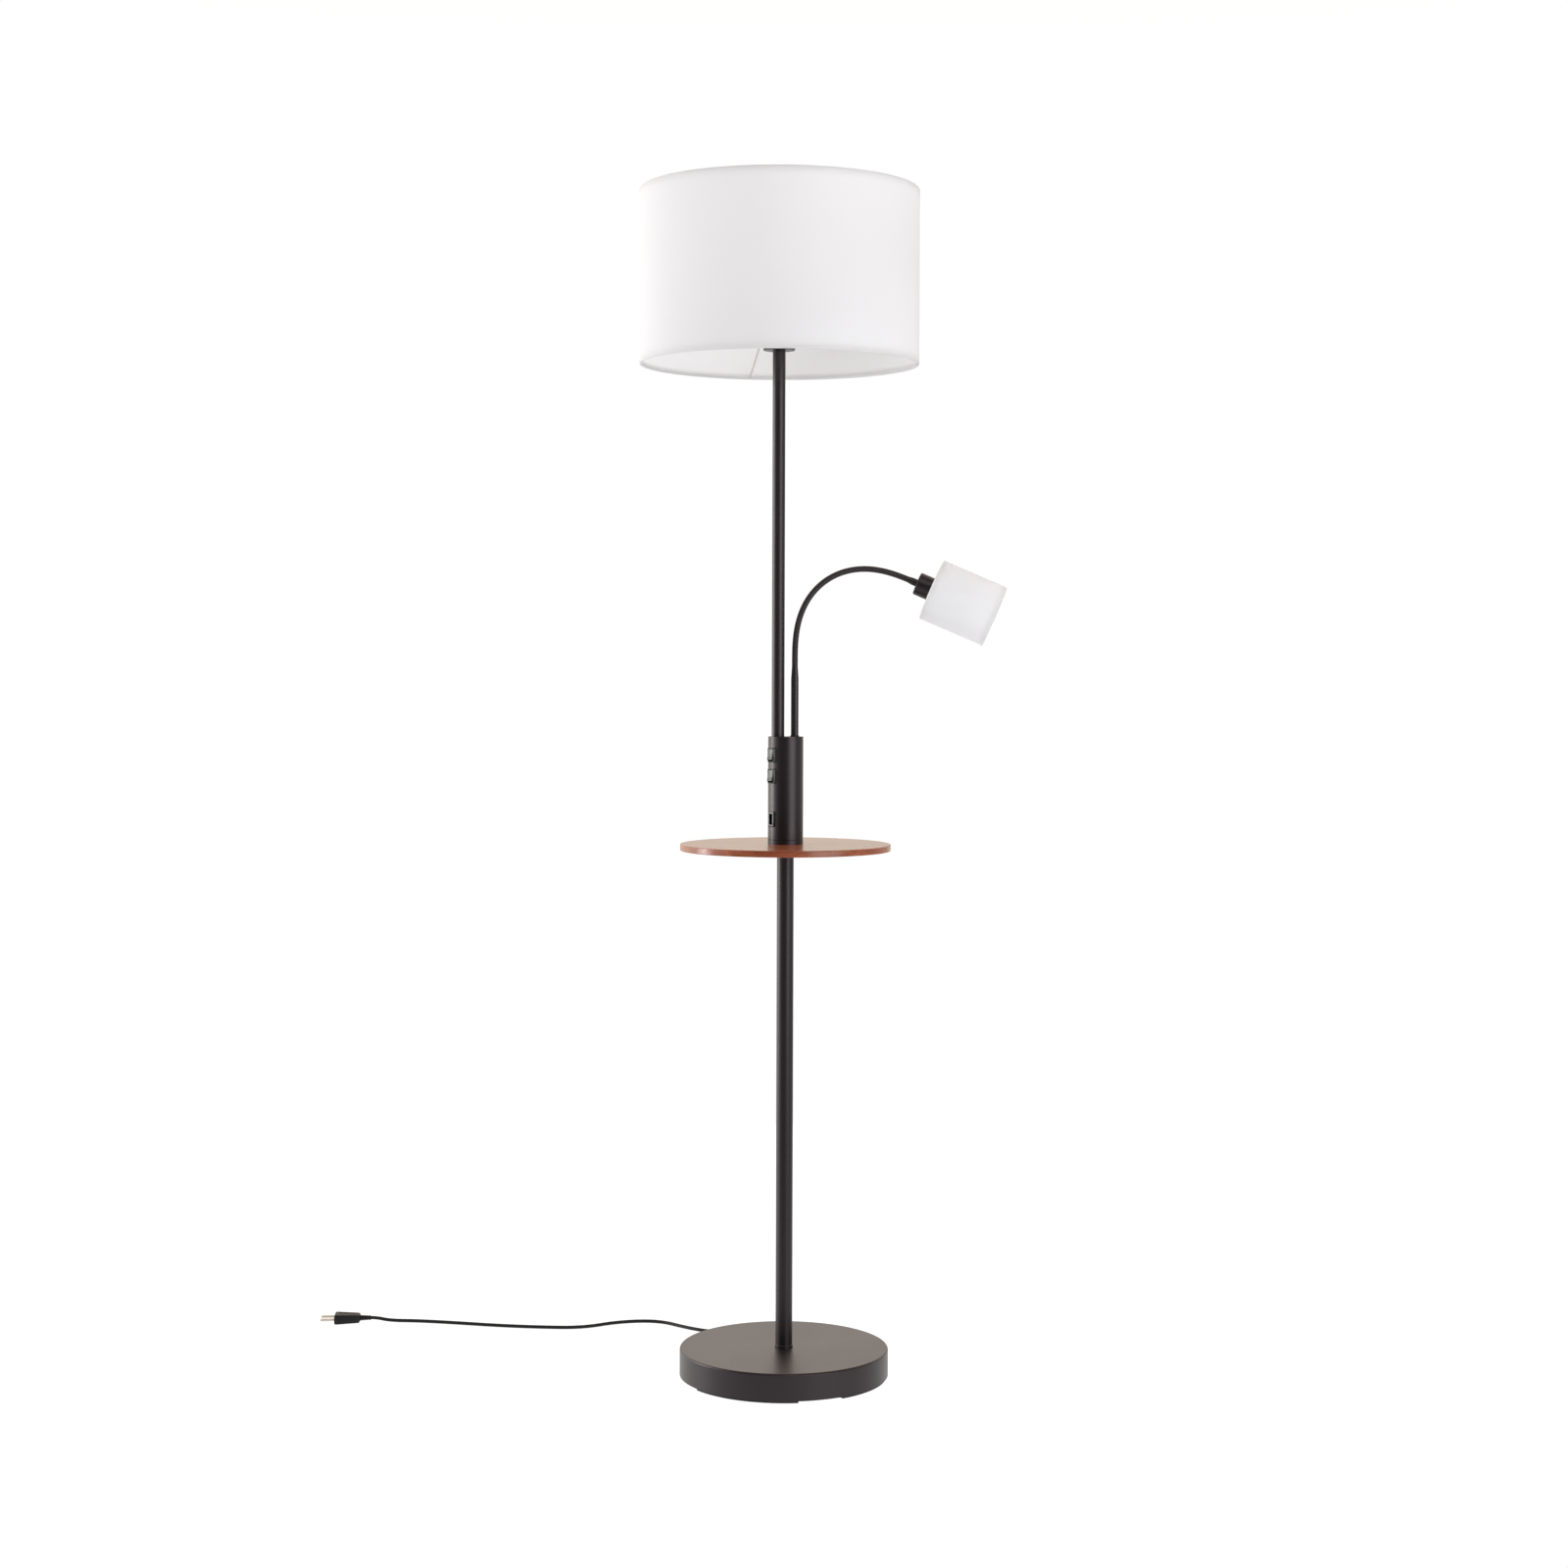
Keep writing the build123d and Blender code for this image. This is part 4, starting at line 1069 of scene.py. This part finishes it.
class LAMP_OT_gooseneck(Operator):
    """Add the ribbed hose, in stretches laid along the gooseneck's curve"""

    bl_idname = "lamp.gooseneck"
    bl_label = "Gooseneck"

    def execute(self, context):
        stretch = (NECK_LENGTH - FERRULE_LENGTH) / NECK_JOINTS
        line = self.centre_line(context)
        for index in range(NECK_JOINTS):
            low = index * stretch
            piece = self.hose(f"hose_{index + 1:02d}", low, stretch, line)
            replaced = [f"gooseneck_link_{index + 1:02d}"] if index < NECK_JOINTS - 1 else ["gooseneck_end"]
            if index == 0:
                replaced.append("gooseneck_root")
            dressed(piece, hose_paint, "hose_metal", None, *replaced)
            start = neck_point(low) * MM
            end = neck_point(low + stretch) * MM
            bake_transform(piece)
        bpy.data.objects.remove(line)
        return {"FINISHED"}

    def centre_line(self, context):
        count = 120
        points = [neck_point(NECK_LENGTH * index / count) for index in range(count + 1)]
        line = line_through(context, "hose_line", "POLY", points)
        line.data.twist_mode = "Z_UP"
        line.data.use_deform_bounds = False
        return line

    def hose(self, name, low, length, line):
        """One stretch of ribs with closed ends, laid along the hose's line."""
        sizes = settings().sizes
        crest = sizes.hose_diameter / 2 / MM
        edge = crest - 0.08
        groove = crest - sizes.rib_depth / MM
        pitch = length / sizes.ribs_per_joint
        rise = [(groove, 0.0), (edge, 0.2), (crest, 0.33)]
        fall = [(crest, 0.55), (edge, 0.68), (groove, 0.88), (groove, 1.0)]
        rib = [(radius, low + share * pitch) for radius, share in rise + fall]
        piece = turned(name, rib, 24, smooth=60.0)
        row = piece.modifiers.new("row", "ARRAY")
        row.count = sizes.ribs_per_joint
        row.use_relative_offset = False
        row.use_constant_offset = True
        row.constant_offset_displace = (0, 0, pitch * MM)
        row.use_merge_vertices = True
        row.merge_threshold = RIB_MERGE * MM
        way = piece.modifiers.new("way", "CURVE")
        way.object = line
        way.deform_axis = "POS_Z"
        apply_modifiers(piece)
        edit()
        bpy.ops.mesh.fill_holes(sides=0)
        done(name)
        soften(60.0)
        return piece


class LAMP_OT_rockers(Operator):
    """Add the two switch rockers"""

    bl_idname = "lamp.rockers"
    bl_label = "Rockers"

    def execute(self, context):
        for label, height in SWITCH_HEIGHTS.items():
            rocker = self.rocker(f"{label}_rocker_cap")
            tip = Matrix.Translation((0, 0, ROCKER_AXIS * MM)) @ Matrix.Rotation(-ROCKER_TILT, 4, "X")
            put(rocker, control_frame(height) @ tip)
            dressed(rocker, switch_plastic, "switch_plastic", f"{label}_rocker", f"{label}_switch_rocker")
        return {"FINISHED"}

    def rocker(self, name):
        """Rocker about its pivot: a dished outline in Y and Z, drawn out along X."""
        outline = [
            (-6.8, 4.9),
            (-6.1, 0.6),
            (-1.8, -1.5),
            (1.8, -1.5),
            (6.1, 0.6),
            (6.8, 4.9),
            (6.5, 5.1),
            (4.4, 4.78),
            (2.0, 4.62),
            (0, 4.6),
            (-2.0, 4.62),
            (-4.4, 4.78),
            (-6.5, 5.1),
        ]
        clear_selection()
        bpy.ops.mesh.primitive_circle_add(vertices=len(outline), radius=0.01, fill_type="NGON")
        rocker = bpy.context.object
        for vertex, (up, out) in zip(rocker.data.vertices, outline):
            vertex.co = (-ROCKER_WIDTH / 2 * MM, up * MM, out * MM)
        edit()
        bpy.ops.mesh.extrude_region_move(TRANSFORM_OT_translate={"value": (ROCKER_WIDTH * MM, 0, 0)})
        face_out()
        done(name)
        bevelled(rocker, 0.3, 3, 25.0)
        apply_modifiers(rocker)
        soften(30.0)
        return rocker


class LAMP_OT_bezels(Operator):
    """Add the frames of the switches and the socket, with the soft edges of mouldings"""

    bl_idname = "lamp.bezels"
    bl_label = "Bezels"

    def execute(self, context):
        for label, height in SWITCH_HEIGHTS.items():
            self.bezel(context, f"{label}_switch_body", control_frame(height))
        self.bezel(context, "usb_bezel", control_frame(SOCKET_HEIGHT))
        return {"FINISHED"}

    def bezel(self, context, node, place):
        """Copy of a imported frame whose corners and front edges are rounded."""
        mesh = cad[node].data.copy()
        mesh.transform(place.inverted() @ cad[node].matrix_world)
        piece = bpy.data.objects.new(f"{node}_moulding", mesh)
        context.scene.collection.objects.link(piece)
        only(piece)
        if mesh.has_custom_normals:
            bpy.ops.mesh.customdata_custom_splitnormals_clear()
        edit()
        bpy.ops.mesh.remove_doubles(threshold=COPY_MERGE * MM)
        bpy.ops.mesh.tris_convert_to_quads(face_threshold=radians(1), shape_threshold=pi)
        bpy.ops.object.mode_set(mode="OBJECT")
        reach = [max(vertex.co[axis] for vertex in mesh.vertices) for axis in range(3)]
        near = 0.01 * MM

        def at_corner(ends):
            return all(abs(abs(point[axis]) - reach[axis]) < near for point in ends for axis in (0, 1))

        def at_front(ends):
            return all(abs(point.z - reach[2]) < near for point in ends)

        self.round_edges(mesh, at_corner, BEZEL_CORNER * MM)
        self.round_edges(mesh, at_front, BEZEL_EDGE * MM)
        piece = done(piece.name)
        soften(30.0)
        dressed(put(piece, place), switch_plastic, "switch_plastic", "lamp", node)

    def round_edges(self, mesh, wanted, radius):
        """Bevels the edges sharper than 60 degrees whose two ends are wanted."""
        bpy.ops.object.mode_set(mode="EDIT")
        bpy.ops.mesh.select_mode(type="EDGE")
        bpy.ops.mesh.select_all(action="DESELECT")
        bpy.ops.object.mode_set(mode="OBJECT")
        normals = {}
        for face in mesh.polygons:
            for key in face.edge_keys:
                normals.setdefault(key, []).append(face.normal)
        for edge in mesh.edges:
            sharp = min(normals[edge.key][0].dot(normal) for normal in normals[edge.key]) < 0.5
            edge.select = sharp and wanted([mesh.vertices[index].co for index in edge.vertices])
        bpy.ops.object.mode_set(mode="EDIT")
        bpy.ops.mesh.bevel(offset=radius, segments=4, affect="EDGES")
        bpy.ops.object.mode_set(mode="OBJECT")


class LAMP_OT_bulbs(Operator):
    """Add the two bulbs and the main lampholder's threaded sleeve"""

    bl_idname = "lamp.bulbs"
    bl_label = "Bulbs"

    def execute(self, context):
        self.bulb("bulb", MAIN_BULB, holder_frame(), "lamp")
        self.bulb("reading_bulb", READING_BULB, head_frame(), "reading_head")
        self.sleeve()
        return {"FINISHED"}

    def bulb(self, name, form, place, body):
        cap = turned(f"{name}_screw_cap", self.cap_outline(form), 48, smooth=50.0)
        dressed(put(cap, place), cap_nickel, "cap_brass", body, f"{name}_cap")
        glass = turned(f"{name}_glass", self.glass_outline(form), 64, smooth=60.0)
        dressed(put(glass, place), frosted_glass, "bulb_glass", body, f"{name}_globe")

    def cap_outline(self, form):
        """Screw cap: a contact, a cone and five turns of thread under a plain rim."""
        turns = 5
        rim = 2.0
        low = form.low
        top = low + form.cap_height
        crest = form.thread / 2
        groove = crest * 0.955
        cone = form.thread / 5
        pitch = (form.cap_height - cone - rim) / turns
        outline = [(0, low), (crest * 0.3, low), (crest * 0.42, low + 1.2), (crest * 0.95, low + cone)]
        for index in range(turns):
            foot = low + cone + index * pitch
            for radius, share in ((groove, 0.1), (crest, 0.4), (crest, 0.6)):
                outline.append((radius, foot + share * pitch))
        return [*outline, (groove, top - rim), (groove, top), (0, top)]

    def glass_outline(self, form):
        """Glass that widens from the cap's rim to a half sphere."""
        top = form.low + form.cap_height
        start = top + 1
        middle = form.low + form.length - form.globe / 2
        narrow = form.neck / 2
        wide = form.globe / 2
        outline = [(0, top), (narrow, top), (narrow, start)]
        for index in range(1, 7):
            share = index / 7
            radius = narrow + (wide - narrow) * eased(share) ** 0.8
            outline.append((radius, start + (middle - start) * share))
        for index in range(13):
            angle = pi / 2 * index / 12
            outline.append((wide * cos(angle), middle + wide * sin(angle)))
        return outline

    def sleeve(self):
        """Lampholder sleeve with the thread that its clamp rings turn on."""
        crest = 19.5
        groove = 18.8
        bore = 13.5
        foot = 9.0
        top = 31.0
        outline = [(0, 0), (crest, 0), (crest, foot)]
        for index in range(7):
            low = foot + index * 3.0
            outline += [(groove, low + 0.8), (groove, low + 1.2), (crest, low + 2.0), (crest, low + 2.6)]
        outline += [(19.2, top), (bore, top), (bore, 4), (0, 4)]
        raised = [(radius, HOLDER_LOW + height) for radius, height in outline]
        sleeve = turned("lampholder_sleeve", raised, 72, smooth=30.0)
        dressed(put(sleeve, holder_frame()), holder_plastic, "holder_plastic", "lamp", "lampholder_body")


class LAMP_OT_finishes(Operator):
    """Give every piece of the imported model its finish"""

    bl_idname = "lamp.finishes"
    bl_label = "Finishes"

    def execute(self, context):
        table = {
            black_paint: (
                "base_cover pole_foot_ring lower_pole upper_pole housing_foot housing_tube housing_lid "
                "lampholder_cap arm_stem arm_ferrule reading_cup"
            ),
            hose_paint: " ".join(name for name in cad if name.startswith("gooseneck")),
            cast_iron: "base_weight",
            plated_steel: "base_plate threaded_nipples hex_nuts pole_inserts",
            black_steel: "usb_shell",
            white_wire: "shade_frame shade_top_ring reading_carrier reading_front_ring",
            rubber: "base_feet cord_gland stem_gasket coil_tie",
            walnut: "shelf",
            switch_plastic: (
                "upper_switch_body lower_switch_body upper_switch_rocker lower_switch_rocker usb_bezel"
            ),
            circuit_board: "usb_power_board",
            holder_plastic: "lampholder_body shade_clamp_rings reading_holder reading_clamp_ring",
            shade_fabric: "drum_shade reading_shade",
            cap_nickel: "bulb_cap reading_bulb_cap plug_pins",
            frosted_glass: "bulb_globe reading_bulb_globe",
            cord_sheath: "inner_cables mains_cord_lead mains_cord_coil mains_cord_run plug_body",
        }
        left = set(cad)
        for maker, names in table.items():
            for name in names.split():
                left.remove(name)
                for slot in cad[name].material_slots:
                    slot.material = finish_of(maker)
        if left:
            raise RuntimeError(f"no finish for {sorted(left)}")
        return {"FINISHED"}


class LAMP_PT_panel(Panel):
    """Lists the lamp's pieces in the sidebar"""

    bl_idname = "LAMP_PT_panel"
    bl_label = "Shelf floor lamp"
    bl_space_type = "VIEW_3D"
    bl_region_type = "UI"
    bl_category = "Lamp"

    def draw(self, context):
        for operator in operators:
            self.layout.operator(operator.bl_idname)
        for group in (settings().sizes, settings().colours, settings().stage):
            box = self.layout.box()
            for key in group.__annotations__:
                box.prop(group, key)


operators = (
    LAMP_OT_stage,
    LAMP_OT_mains_cord,
    LAMP_OT_shades,
    LAMP_OT_gooseneck,
    LAMP_OT_rockers,
    LAMP_OT_bezels,
    LAMP_OT_bulbs,
    LAMP_OT_finishes,
)
classes = (LampSizes, LampColours, LampStage, LampSettings, *operators, LAMP_PT_panel)


def register():
    for item in classes:
        bpy.utils.register_class(item)
    bpy.types.Scene.floor_lamp = PointerProperty(type=LampSettings)


def unregister():
    del bpy.types.Scene.floor_lamp
    for item in reversed(classes):
        bpy.utils.unregister_class(item)


def main():
    register()
    bpy.ops.lamp.stage()
    bpy.ops.lamp.mains_cord()
    bpy.ops.lamp.shades()
    bpy.ops.lamp.gooseneck()
    bpy.ops.lamp.rockers()
    bpy.ops.lamp.bezels()
    bpy.ops.lamp.bulbs()
    bpy.ops.lamp.finishes()


if __name__ == "__main__":
    main()
